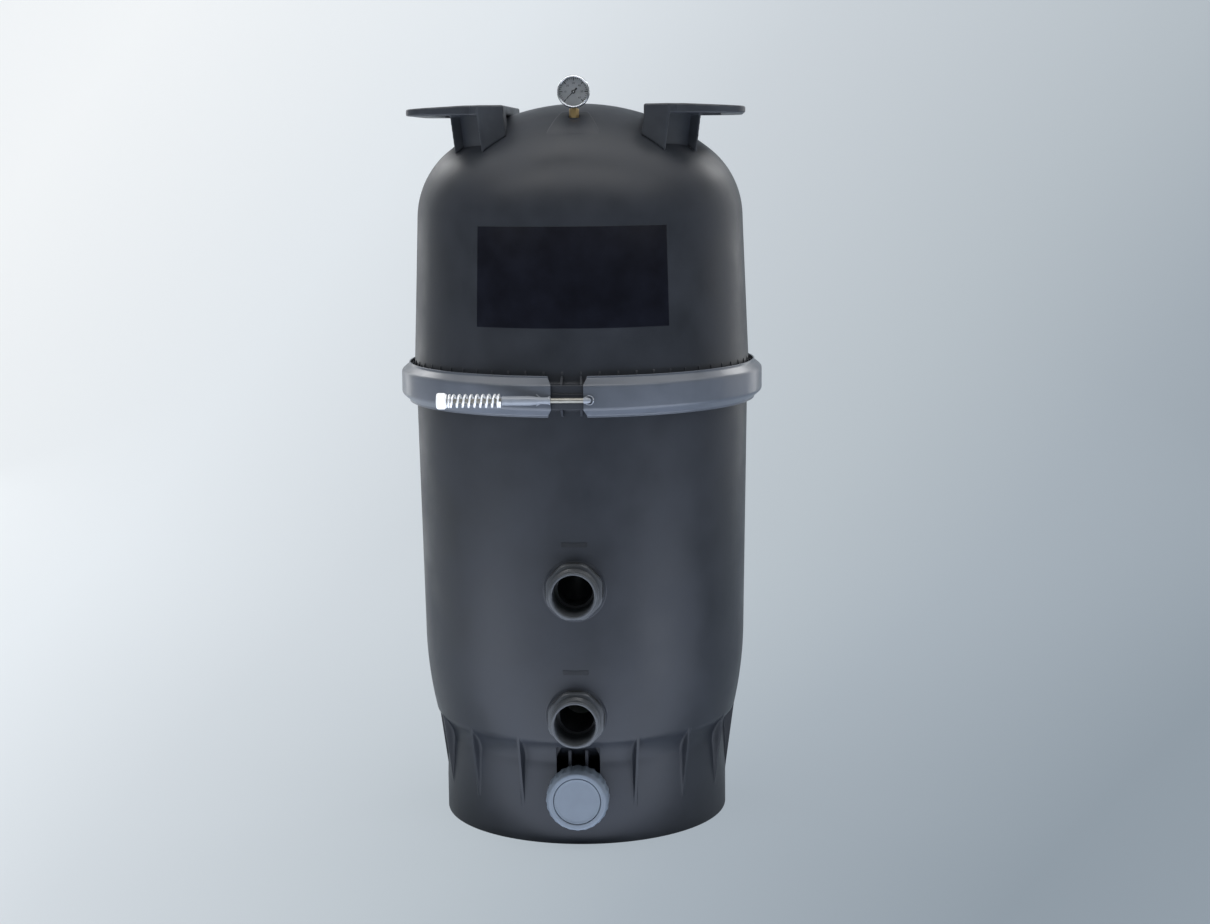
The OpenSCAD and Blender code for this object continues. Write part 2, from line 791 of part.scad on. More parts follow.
// bulkhead port: threaded end, eight-sided collar and a barrel through the tank wall
module port(z, face, back) color("#3c4047") {
  collar = face + gasket_t;
  front = collar + collar_l + port_l;
  end = back - lock_nut_t - barrel_past;
  difference() {
    union() {
      forward(port_r, collar, front - port_lead, 0, z);
      forward_cone(port_r, port_r - port_lead, front - port_lead, front, z);
      intersection() {
        translate([0, -collar, z])
          rotate([90, 22.5, 0])
            cylinder(r = collar_r, h = collar_l, $fn = 8);
        forward_cone(collar_r + 8, collar_r - 2.5, collar, collar + collar_l, z);
      }
      forward(port_barrel_r, end, collar + 1, 0, z);
    }
    forward(port_bore_r, end - 1, front + 1, 0, z);
  }
}

module port_gasket(z, face) color("#202020")
  difference() {
    forward(boss_r - 2, face, face + gasket_t, 0, z);
    forward(port_barrel_r + slip, face - 1, face + gasket_t + 1, 0, z);
  }

module lock_nut(z, back) color("#3c4047")
  difference() {
    translate([0, -(back - lock_nut_t), z])
      rotate([90, 0, 0])
        cylinder(r = lock_nut_r, h = lock_nut_t, $fn = 6);
    forward(port_barrel_r + slip, back - lock_nut_t - 1, back + 1, 0, z);
  }

// elbow that turns the incoming water up, away from the cartridges
module inlet_diffuser() color("#dcdcd6") {
  end = inlet_back - lock_nut_t - barrel_past;
  difference() {
    union() {
      forward(pipe_r, -diffuser_y, end + 12, 0, inlet_z);
      translate([0, diffuser_y, inlet_z - diffuser_r - 2])
        cylinder(r = diffuser_r, h = diffuser_h);
    }
    forward(pipe_r - pipe_t, -diffuser_y, end + 13, 0, inlet_z);
    translate([0, diffuser_y, inlet_z - diffuser_r - 2 + diffuser_t])
      cylinder(r = diffuser_r - diffuser_t, h = diffuser_h);
  }
}

module outlet_pipe() color("#dcdcd6")
  difference() {
    forward(pipe_r, outlet_pipe_end, outlet_back + 6, 0, outlet_z);
    forward(pipe_r - pipe_t, outlet_pipe_end - 1, outlet_back + 7, 0, outlet_z);
  }

module drain_plug() color("#7d8997") {
  neck = drain_face + blank_flange_t;
  difference() {
    union() {
      forward(blank_edge_r, drain_face, neck, 0, drain_z);
      forward(blank_r, neck - 1, nut_front - 2, 0, drain_z);
      forward_cone(blank_r, blank_r - 1, nut_front - 2, nut_front - 1, drain_z);
    }
    difference() {
      forward(plug_seal_r + plug_groove_w / 2, drain_face - 1, drain_face + plug_groove_d,
        0, drain_z);
      forward(plug_seal_r - plug_groove_w / 2, drain_face - 2, drain_face + plug_groove_d + 1,
        0, drain_z);
    }
  }
}

// the plug's seal lies in its groove, just clear of the spigot's face
module drain_seal() color("#202020")
  translate([0, -drain_face, drain_z])
    rotate([90, 0, 0])
      translate([0, 0, plug_seal_d / 2 + 0.2])
        rotate_extrude()
          translate([plug_seal_r, 0])
            circle(d = plug_seal_d);

module drain_nut() color("#7d8997") {
  back = nut_front - drain_nut_l;
  lip = drain_face + blank_flange_t + blank_play;
  body_r = drain_nut_r - grip_rib_h;
  difference() {
    union() {
      forward(body_r, back, nut_front - nut_bevel_l, 0, drain_z);
      forward_cone(body_r, body_r - nut_bevel_r, nut_front - nut_bevel_l, nut_front, drain_z);
      for (i = [0:grip_count - 1])
        translate([0, -back, drain_z])
          rotate([90, i * 360 / grip_count, 0])
            translate([body_r - grip_rib_h, -grip_rib_w / 2, 0])
              cube([2 * grip_rib_h, grip_rib_w, drain_nut_l - nut_bevel_l - 2]);
    }
    forward(drain_r + run_gap, back - 1, drain_face, 0, drain_z);
    forward(drain_r + run_gap, drain_face - 1, lip, 0, drain_z);
    forward(blank_r + blank_play, lip - 1, nut_front + 1, 0, drain_z);
  }
}

module gauge_stem() color("#9a7b4a") {
  hex_top = gauge_z - bezel_r - bezel_gap;
  difference() {
    translate([0, -gauge_off, 0])
      union() {
        translate([0, 0, pad_z - 20])
          cylinder(r = stem_r, h = 20 + eps);
        translate([0, 0, pad_z])
          cylinder(r = stem_hex_w / 2, h = hex_top - pad_z, $fn = 6);
        translate([0, 0, hex_top - 1])
          cylinder(r = neck_r, h = 1 + bezel_r + bezel_gap - gauge_r + neck_in);
      }
    translate([0, -gauge_off, pad_z - 21])
      cylinder(r = 2, h = 60);
  }
}

module gauge_case() color("#9aa0a6")
  difference() {
    forward(gauge_r, case_back, case_front, 0, gauge_z);
    forward(gauge_r - case_t, case_back + case_t, case_front + 1, 0, gauge_z);
    translate([0, -gauge_off, gauge_z - gauge_r - 2])
      cylinder(r = neck_r + slip, h = 2 + neck_in + slip);
  }

module gauge_dial() color("#8d9399")
  union() {
    forward(dial_r, dial_y - dial_t, dial_y, 0, gauge_z);
    forward(pivot_r, dial_y - 1, pointer_y + pointer_t + 0.6, 0, gauge_z);
  }

// the pointer rests at the dial's zero, down to the left
module gauge_pointer() color("#101010")
  translate([0, -pointer_y, gauge_z])
    rotate([90, 0, 0])
      difference() {
        union() {
          rotate([0, 0, 225])
            linear_extrude(pointer_t)
              polygon([[-7, -1.3], [-7, 1.3], [0, 1.1], [pointer_l, 0.35], [pointer_l, -0.35],
                [0, -1.1]]);
          cylinder(r = 3, h = pointer_t);
        }
        translate([0, 0, -1])
          cylinder(r = pivot_r + run_gap, h = 4);
      }

module gauge_lens() color([0.85, 0.9, 0.92, 0.35])
  forward(gauge_r - case_t - 0.2, case_front - lens_t - 0.1, case_front - 0.1, 0, gauge_z);

module gauge_bezel() color("#b4b8bc")
  difference() {
    union() {
      forward(bezel_r, case_front - bezel_l, case_front + bezel_t - 1, 0, gauge_z);
      forward_cone(bezel_r, bezel_r - 1, case_front + bezel_t - 1, case_front + bezel_t,
        gauge_z);
    }
    forward(gauge_r + slip, case_front - bezel_l - 1, case_front, 0, gauge_z);
    forward(gauge_r - bezel_lip, case_front - 1, case_front + bezel_t + 1, 0, gauge_z);
  }

// hollow cross that gathers the filtered water and carries the cartridges
module bottom_manifold() color("#e2e2dc") {
  a_in = arm_r - arm_t;
  z0 = outlet_z - drum_h / 2;
  cup_top = cart_z - 0.2;
  difference() {
    union() {
      translate([0, 0, z0])
        cylinder(r = drum_r, h = drum_h);
      for (i = [0:3])
        rotate([0, 0, 45 + 90 * i]) {
          translate([0, 0, outlet_z])
            rotate([0, 90, 0])
              cylinder(r = arm_r, h = cart_circle_r);
          translate([cart_circle_r, 0, z0])
            cylinder(r = cup_r, h = cup_top - z0);
          translate([cart_circle_r, 0, cup_top - 1])
            cylinder(r = stub_r, h = stub_l + 1);
          intersection() {
            translate([cart_circle_r, 0, 0])
              cylinder(r = leg_r, h = z0 + 1);
            cavity(slip);
          }
        }
      forward(pipe_r + slip + 4, drum_r - 10, outlet_pipe_end + 25, 0, outlet_z);
    }
    translate([0, 0, z0 + 4])
      cylinder(r = drum_r - 4, h = drum_h - 8);
    for (i = [0:3])
      rotate([0, 0, 45 + 90 * i]) {
        translate([0, 0, outlet_z])
          rotate([0, 90, 0])
            cylinder(r = a_in, h = cart_circle_r);
        translate([cart_circle_r, 0, z0 + cup_t])
          cylinder(r = stub_r - 4, h = cup_top - z0 + stub_l);
      }
    forward(pipe_r - pipe_t, drum_r - 12, outlet_pipe_end + 1, 0, outlet_z);
    forward(pipe_r + slip, outlet_pipe_end - slip, outlet_pipe_end + 26, 0, outlet_z);
    translate([0, 0, z0 + drum_h - 20])
      cylinder(r = tube_r + slip, h = 30);
  }
}

// cross that holds the cartridges' tops apart, with a plug in each
module top_manifold() color("#e2e2dc") {
  z0 = cart_top + 0.2;
  difference() {
    union() {
      for (i = [0:3])
        rotate([0, 0, 45 + 90 * i]) {
          translate([cart_circle_r, 0, z0])
            cylinder(r = 46, h = top_plate_t);
          translate([0, -14, z0])
            cube([cart_circle_r, 28, top_plate_t]);
          translate([0, -2.5, z0])
            cube([cart_circle_r - 20, 5, top_plate_t + 16]);
          translate([cart_circle_r, 0, z0 - stub_l])
            cylinder(r = stub_r, h = stub_l + 1);
        }
      translate([0, 0, z0])
        cylinder(r = 30, h = top_plate_t + 20);
    }
    for (i = [0:3])
      rotate([0, 0, 45 + 90 * i])
        translate([cart_circle_r, 0, z0 - stub_l - 1])
          cylinder(r = stub_r - 4, h = stub_l + 4);
    translate([0, 0, z0 - 1])
      cylinder(r = tube_r + slip, h = top_plate_t + 30);
  }
}

module air_tube() color("#e8e8e4")
  translate([0, 0, outlet_z + drum_h / 2 - 14])
    difference() {
      cylinder(r = tube_r, h = strainer_z - outlet_z - drum_h / 2 + 14 + 10);
      translate([0, 0, -1])
        cylinder(r = tube_r - tube_t, h = strainer_z);
    }

module air_strainer() color("#a9adb0")
  translate([0, 0, strainer_z])
    difference() {
      union() {
        cylinder(r = strainer_r, h = strainer_l);
        translate([0, 0, strainer_l])
          cylinder(r1 = strainer_r, r2 = strainer_r - 4, h = 4);
      }
      translate([0, 0, -1])
        cylinder(r = tube_r + slip, h = 11.2);
      translate([0, 0, 10.1])
        cylinder(r = strainer_r - 2, h = strainer_l - 12);
      for (i = [0:5], k = [0:3])
        rotate([0, 0, 60 * i])
          translate([strainer_r - 3, -3, 14 + 8 * k])
            cube([5, 6, 4]);
    }

// outline of the folded sheet at one of its faces
function pleat_path(r_tip, r_root, tip_a, root_a) =
  [for (i = [0:pleats - 1]) let (a = i * 360 / pleats, b = a + 180 / pleats)
    each [[r_tip * cos(a - tip_a), r_tip * sin(a - tip_a)],
      [r_tip * cos(a + tip_a), r_tip * sin(a + tip_a)],
      [r_root * cos(b - root_a), r_root * sin(b - root_a)],
      [r_root * cos(b + root_a), r_root * sin(b + root_a)]]];

module at_cartridge(i) {
  rotate([0, 0, 45 + 90 * (i - 1)])
    translate([cart_circle_r, 0, 0])
      children();
}

module media(i) color("#f2f4f6") {
  tip_r = cap_r - 3;
  root_r = core_r + 0.3 + sheet_t;
  tip_w = 1.3;
  root_w = 0.35;
  side_a = sheet_t / tip_r * 57.3;
  side_b = sheet_t / root_r * 57.3;
  at_cartridge(i)
    translate([0, 0, cart_z + cap_t])
      linear_extrude(cart_l - 2 * cap_t)
        difference() {
          polygon(pleat_path(tip_r, root_r, tip_w, root_w));
          polygon(pleat_path(tip_r - sheet_t, root_r - sheet_t, tip_w - side_a,
            root_w + side_b));
        }
}

module core(i) color("#d9dad6") {
  rows = 5;
  pitch = (cart_l - 2 * cap_t) / rows;
  at_cartridge(i)
    translate([0, 0, cart_z + cap_t])
      difference() {
        cylinder(r = core_r, h = cart_l - 2 * cap_t);
        translate([0, 0, -1])
          cylinder(r = core_r - core_t, h = cart_l);
        for (k = [0:rows - 1], a = [0:60:120])
          rotate([0, 0, a])
            translate([-core_r - 1, -6, 12 + k * pitch])
              cube([2 * core_r + 2, 12, pitch - 24]);
      }
}

module end_cap(i, z) color("#2f5c8f")
  at_cartridge(i)
    translate([0, 0, z])
      difference() {
        cylinder(r = cap_r, h = cap_t);
        translate([0, 0, -1])
          cylinder(r = cap_bore_r, h = cap_t + 2);
      }

lower_tank();
upper_tank();
left_handle();
right_handle();
tank_seal();
clamp_band();
tension_bolt();
clamp_spring();
clamp_washer();
clamp_nut();
port(inlet_z, inlet_face, inlet_back);  // inlet_port
port_gasket(inlet_z, inlet_face);  // inlet_gasket
lock_nut(inlet_z, inlet_back);  // inlet_lock_nut
inlet_diffuser();
port(outlet_z, outlet_face, outlet_back);  // outlet_port
port_gasket(outlet_z, outlet_face);  // outlet_gasket
lock_nut(outlet_z, outlet_back);  // outlet_lock_nut
outlet_pipe();
drain_plug();
drain_seal();
drain_nut();
gauge_stem();
gauge_case();
gauge_dial();
gauge_pointer();
gauge_lens();
gauge_bezel();
bottom_manifold();
top_manifold();
air_tube();
air_strainer();
media(1);  // media_1
core(1);  // core_1
end_cap(1, cart_top - cap_t);  // top_cap_1
end_cap(1, cart_z);  // bottom_cap_1
media(2);  // media_2
core(2);  // core_2
end_cap(2, cart_top - cap_t);  // top_cap_2
end_cap(2, cart_z);  // bottom_cap_2
media(3);  // media_3
core(3);  // core_3
end_cap(3, cart_top - cap_t);  // top_cap_3
end_cap(3, cart_z);  // bottom_cap_3
media(4);  // media_4
core(4);  // core_4
end_cap(4, cart_top - cap_t);  // top_cap_4
end_cap(4, cart_z);  // bottom_cap_4
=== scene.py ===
"""Looks of the cartridge filter: finishes, finer pieces, floor, lights and camera.

Sizes in the classes are millimetres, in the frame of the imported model: origin on the floor at
the middle of the base, +Z up, ports towards -Y. Meshes are written out in metres.
"""

import json
import logging
import math
from dataclasses import dataclass, field
from enum import Enum
from typing import Sequence

import bmesh
import bpy
import numpy as np
from mathutils import Matrix, Vector

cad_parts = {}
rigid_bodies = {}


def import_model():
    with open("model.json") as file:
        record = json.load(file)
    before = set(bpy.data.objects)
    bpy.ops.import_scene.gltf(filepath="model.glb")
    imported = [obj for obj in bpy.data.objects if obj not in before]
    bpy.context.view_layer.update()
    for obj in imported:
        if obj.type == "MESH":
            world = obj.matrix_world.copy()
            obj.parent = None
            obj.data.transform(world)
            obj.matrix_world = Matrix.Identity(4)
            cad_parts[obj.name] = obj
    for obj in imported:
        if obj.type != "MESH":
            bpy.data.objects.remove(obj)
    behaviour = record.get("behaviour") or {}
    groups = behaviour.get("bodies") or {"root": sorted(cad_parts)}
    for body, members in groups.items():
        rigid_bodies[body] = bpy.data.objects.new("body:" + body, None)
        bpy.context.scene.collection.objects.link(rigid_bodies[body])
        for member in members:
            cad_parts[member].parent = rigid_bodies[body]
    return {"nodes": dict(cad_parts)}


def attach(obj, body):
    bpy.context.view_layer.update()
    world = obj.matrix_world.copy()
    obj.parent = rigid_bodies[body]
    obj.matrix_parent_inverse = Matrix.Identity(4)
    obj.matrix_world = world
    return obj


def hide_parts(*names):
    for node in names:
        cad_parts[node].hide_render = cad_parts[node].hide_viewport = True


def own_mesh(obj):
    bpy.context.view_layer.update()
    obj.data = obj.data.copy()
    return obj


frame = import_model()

LOG = logging.getLogger("filter")
MM = 0.001
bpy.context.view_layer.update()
SHARP = 32.0
PALE = "d9e0e6"


# Finishes

def linear(code: str) -> tuple[float, float, float, float]:
    """Turns a screen colour into the linear one that shaders use.

    Args:
        code: Six hexadecimal digits, red, green and blue.

    Returns:
        Linear red, green, blue and an alpha of 1.
    """
    parts = [int(code[i:i + 2], 16) / 255 for i in (0, 2, 4)]
    flat = [c / 12.92 if c <= 0.04045 else ((c + 0.055) / 1.055) ** 2.4 for c in parts]
    return flat[0], flat[1], flat[2], 1.0


class Grain(Enum):
    """How a surface's fine structure is made."""

    MOULDED = "moulded"
    PAINTED = "painted"
    PLATED = "plated"
    FELT = "felt"
    CLEAR = "clear"


@dataclass(frozen=True)
class Finish:
    """One finish: its colours, gloss and fine structure, with lengths in millimetres."""

    name: str
    colour: str
    second: str
    grain: Grain = Grain.MOULDED
    rough: float = 0.45
    spread: float = 0.06
    metal: float = 0.0
    patch: float = 60.0
    fine: float = 1.2
    depth: float = 0.05
    specular: float = 0.5
    coat: float = 0.0
    sheen: float = 0.0

    def material(self) -> bpy.types.Material:
        """Builds the material once and finds it again later.

        Returns:
            The Blender material of this finish.
        """
        found = bpy.data.materials.get(self.name)
        if found is not None:
            return found
        made = bpy.data.materials.new(self.name)
        made.use_nodes = True
        made.diffuse_color = linear(self.colour)
        nodes = Shader(made)
        if self.grain is Grain.CLEAR:
            nodes.clear(self)
        else:
            nodes.solid(self)
        return made


class Shader:
    """Writes a material's node tree."""

    def __init__(self, material: bpy.types.Material) -> None:
        """Starts from the material's own Principled shader.

        Args:
            material: The material to write into.
        """
        self.tree = material.node_tree
        self.nodes = self.tree.nodes
        self.surface = next(n for n in self.nodes if n.type == "BSDF_PRINCIPLED")
        self.place = self.nodes.new("ShaderNodeTexCoord").outputs["Object"]

    def link(self, start: bpy.types.NodeSocket, end: bpy.types.NodeSocket) -> None:
        """Joins two sockets.

        Args:
            start: The output.
            end: The input.
        """
        self.tree.links.new(start, end)

    def noise(self, size: float, detail: float, stretch: Sequence[float] = (1, 1, 1),
              rough: float = 0.55) -> bpy.types.NodeSocket:
        """Adds a noise pattern.

        Args:
            size: Size of its patches, in millimetres.
            detail: Octaves of finer noise.
            stretch: Scale along each axis.
            rough: Strength of the finer octaves.

        Returns:
            The noise value's output.
        """
        mapping = self.nodes.new("ShaderNodeMapping")
        mapping.inputs["Scale"].default_value = stretch
        self.link(self.place, mapping.inputs["Vector"])
        node = self.nodes.new("ShaderNodeTexNoise")
        node.inputs["Scale"].default_value = 1 / (size * MM)
        node.inputs["Detail"].default_value = detail
        node.inputs["Roughness"].default_value = rough
        self.link(mapping.outputs["Vector"], node.inputs["Vector"])
        return node.outputs["Fac"]

    def ranged(self, value: bpy.types.NodeSocket, low: float, high: float,
               start: float = 0.3, end: float = 0.7) -> bpy.types.NodeSocket:
        """Spreads a value over a range.

        Args:
            value: The value to spread.
            low: Result at start.
            high: Result at end.
            start: Lowest value that counts.
            end: Highest value that counts.

        Returns:
            The spread value's output.
        """
        node = self.nodes.new("ShaderNodeMapRange")
        self.link(value, node.inputs["Value"])
        settings = {"From Min": start, "From Max": end, "To Min": low, "To Max": high}
        for key, number in settings.items():
            node.inputs[key].default_value = number
        return node.outputs["Result"]

    def mixed(self, factor: bpy.types.NodeSocket, first: str,
              second: str) -> bpy.types.NodeSocket:
        """Mixes two colours.

        Args:
            factor: How much of the second colour.
            first: First screen colour.
            second: Second screen colour.

        Returns:
            The mixed colour's output.
        """
        node = self.nodes.new("ShaderNodeMix")
        node.data_type = "RGBA"
        self.link(factor, node.inputs["Factor"])
        colours = [s for s in node.inputs if s.type == "RGBA"]
        colours[0].default_value = linear(first)
        colours[1].default_value = linear(second)
        return next(s for s in node.outputs if s.type == "RGBA")

    def math(self, kind: str, first: bpy.types.NodeSocket,
             *others: float | bpy.types.NodeSocket) -> bpy.types.NodeSocket:
        """Adds a sum.

        Args:
            kind: Blender's name of the operation.
            first: The first value.
            *others: Further values, each a number or an output.

        Returns:
            The result's output.
        """
        node = self.nodes.new("ShaderNodeMath")
        node.operation = kind
        self.link(first, node.inputs[0])
        for i, other in enumerate(others, 1):
            if isinstance(other, (int, float)):
                node.inputs[i].default_value = other
            else:
                self.link(other, node.inputs[i])
        return node.outputs[0]

    def bump(self, height: bpy.types.NodeSocket, depth: float, strength: float = 1.0,
             under: bpy.types.NodeSocket | None = None) -> bpy.types.NodeSocket:
        """Adds relief.

        Args:
            height: The height pattern.
            depth: Its depth in millimetres.
            strength: Share of the relief that shows.
            under: Relief that lies below this one.

        Returns:
            The normal's output.
        """
        node = self.nodes.new("ShaderNodeBump")
        node.inputs["Distance"].default_value = depth * MM
        node.inputs["Strength"].default_value = strength
        self.link(height, node.inputs["Height"])
        if under is not None:
            self.link(under, node.inputs["Normal"])
        return node.outputs["Normal"]

    def solid(self, finish: Finish) -> None:
        """Writes an opaque finish.

        Args:
            finish: The finish to write.
        """
        shader = self.surface.inputs
        stretch = (1, 1, 0.35) if finish.grain is Grain.FELT else (1, 1, 1)
        broad = self.noise(finish.patch, 5, stretch)
        fine = self.noise(finish.fine, 3)
        self.link(self.mixed(self.ranged(broad, 0, 1), finish.colour, finish.second),
                  shader["Base Color"])
        self.link(self.ranged(broad, finish.rough - finish.spread,
                              finish.rough + finish.spread), shader["Roughness"])
        relief = self.bump(fine, finish.depth)
        if finish.grain in (Grain.MOULDED, Grain.PAINTED):
            relief = self.bump(self.noise(finish.fine * 14, 2), finish.depth * 5, 0.5, relief)
        self.link(relief, shader["Normal"])
        shader["Metallic"].default_value = finish.metal
        shader["Specular IOR Level"].default_value = finish.specular
        shader["Coat Weight"].default_value = finish.coat
        shader["Coat Roughness"].default_value = 0.15
        shader["Sheen Weight"].default_value = finish.sheen

    def clear(self, finish: Finish) -> None:
        """Writes a glass finish.

        Args:
            finish: The finish to write.
        """
        shader = self.surface.inputs
        shader["Base Color"].default_value = linear(finish.colour)
        shader["Transmission Weight"].default_value = 1.0
        shader["IOR"].default_value = 1.45
        self.link(self.ranged(self.noise(finish.patch, 3), finish.rough,
                              finish.rough + finish.spread), shader["Roughness"])
        self.link(self.bump(self.noise(finish.fine, 2), finish.depth), shader["Normal"])


TANK = Finish("charcoal_plastic", "212429", "2a2d33", rough=0.43, spread=0.07, patch=80,
              fine=0.9, depth=0.03, specular=0.28)
# Grip plastic: the tank's plastic made lighter, which paints light onto the handles and their
# webs.
GRIP_PAINTED_LIGHT = Finish("grip_plastic_painted_light", "2b2e34", "373b41", rough=0.42, spread=0.09, patch=45,
              fine=0.9, depth=0.03, specular=0.4)
FITTING = Finish("fitting_plastic", "393c40", "434649", rough=0.36, patch=25, fine=0.6,
                 depth=0.02, specular=0.4)
DRAIN = Finish("grey_plastic", "58616b", "5f6872", rough=0.42, patch=30, fine=0.7, depth=0.02,
               specular=0.4)
BAND = Finish("band_paint", "4f545c", "575c65", Grain.PAINTED, rough=0.36, patch=45, fine=1.4,
              depth=0.02, specular=0.4, coat=0.15)
# Sleeve paint: the band's paint made lighter, a painted highlight on the sleeves and the weld
# beads.
BAND_PAINTED_HIGHLIGHT = Finish("band_paint_painted_highlight", "7b8088", "858a92", Grain.PAINTED, rough=0.33, patch=20,
                fine=1.2, depth=0.02, coat=0.2)
PLATED = Finish("bright_zinc", "f4f5f6", "fbfbfc", Grain.PLATED, rough=0.3, metal=0.3,
                patch=6, fine=0.5, depth=0.01)
NUT = Finish("nut_zinc", "fafbfc", "fdfdfe", Grain.PLATED, rough=0.32, metal=0.0, patch=7,
             fine=0.5, depth=0.01)
BOLT = Finish("bolt_zinc", "85837c", "98968e", Grain.PLATED, rough=0.38, metal=0.6, patch=9,
              fine=0.5, depth=0.012)
STEEL = Finish("gauge_steel", "c4c7cb", "d2d5d8", Grain.PLATED, rough=0.16, metal=1.0, patch=9,
               fine=0.4, depth=0.006)
BRASS = Finish("brass", "3e372d", "4a4338", Grain.PLATED, rough=0.45, metal=0.7, patch=6,
               fine=0.4, depth=0.01)
RUBBER = Finish("rubber", "17181a", "212224", rough=0.7, patch=12, fine=0.5, depth=0.02)
INNER = Finish("white_plastic", "d3d3cd", "dededa", rough=0.4, patch=50, fine=0.9, depth=0.03)
CORE = Finish("core_plastic", "c7c8c4", "d2d3cf", rough=0.5, patch=30, fine=0.9, depth=0.03)
CAP = Finish("cap_rubber", "27518a", "2d5a94", rough=0.5, patch=30, fine=0.8, depth=0.04)
MEDIA = Finish("pleated_felt", "e3e6e8", "eff1f2", Grain.FELT, rough=0.85, patch=9, fine=0.35,
               depth=0.06, sheen=0.3)
MESH = Finish("strainer_steel", "8f9396", "a5a9ac", Grain.PLATED, rough=0.35, metal=1.0,
              patch=6, fine=0.6, depth=0.03)
DIAL = Finish("dial_print", "a6aaae", "b2b6ba", Grain.PAINTED, rough=0.5, patch=14, fine=0.5,
              depth=0.004)
INK = Finish("black_paint", "121315", "1b1c1f", Grain.PAINTED, rough=0.4, patch=5, fine=0.3,
             depth=0.004)
GLASS = Finish("clear_glass", "ffffff", "ffffff", Grain.CLEAR, rough=0.0, spread=0.02,
               patch=20, fine=8, depth=0.002)
TAB = Finish("tab_paint", "1c1e21", "232529", Grain.PAINTED, rough=0.5, patch=12, fine=0.6,
             depth=0.01, specular=0.25)
PLATE = Finish("plate_film", "0c0d14", "12141d", Grain.PAINTED, rough=0.36, spread=0.05,
               patch=40, fine=0.8, depth=0.008, specular=0.1)


# Mesh building

def circle_points(radius: float, count: int, start: float = 0.0) -> np.ndarray:
    """Points of a circle in its own plane.

    Args:
        radius: Its radius.
        count: Number of points.
        start: Angle of the first point, in degrees.

    Returns:
        An array of count points with two coordinates.
    """
    a = np.radians(start) + np.arange(count) * 2 * np.pi / count
    return np.c_[radius * np.cos(a), radius * np.sin(a)]


def arc(cx: float, cz: float, r: float, a0: float, a1: float, n: int) -> list[tuple]:
    """Points of an arc.

    Args:
        cx: First coordinate of the centre.
        cz: Second coordinate of the centre.
        r: Radius.
        a0: Start angle in degrees.
        a1: End angle in degrees.
        n: Number of steps.

    Returns:
        n + 1 points.
    """
    return [(cx + r * math.cos(math.radians(a0 + (a1 - a0) * i / n)),
             cz + r * math.sin(math.radians(a0 + (a1 - a0) * i / n))) for i in range(n + 1)]


def rounded(corners: Sequence[tuple], radii: Sequence[float], steps: int = 4,
            closed: bool = True) -> list[tuple]:
    """Rounds the corners of an outline.

    Args:
        corners: The outline's corners.
        radii: The radius at each corner, 0 for a sharp one.
        steps: Steps along each rounding.
        closed: Whether the last corner joins the first.

    Returns:
        The rounded outline.
    """
    made: list[tuple] = []
    count = len(corners)
    for i, corner in enumerate(corners):
        p = np.array(corner, float)
        if radii[i] <= 0 or (not closed and i in (0, count - 1)):
            made.append(tuple(p))
            continue
        before = np.array(corners[i - 1], float) - p
        after = np.array(corners[(i + 1) % count], float) - p
        lb, la = np.linalg.norm(before), np.linalg.norm(after)
        before, after = before / lb, after / la
        half = math.acos(max(-1.0, min(1.0, float(before @ after)))) / 2
        reach = min(radii[i] / math.tan(half), 0.49 * lb, 0.49 * la)
        for k in range(steps + 1):
            t = k / steps
            start, end = p + before * reach, p + after * reach
            made.append(tuple((1 - t) ** 2 * start + 2 * t * (1 - t) * p + t * t * end))
    return made


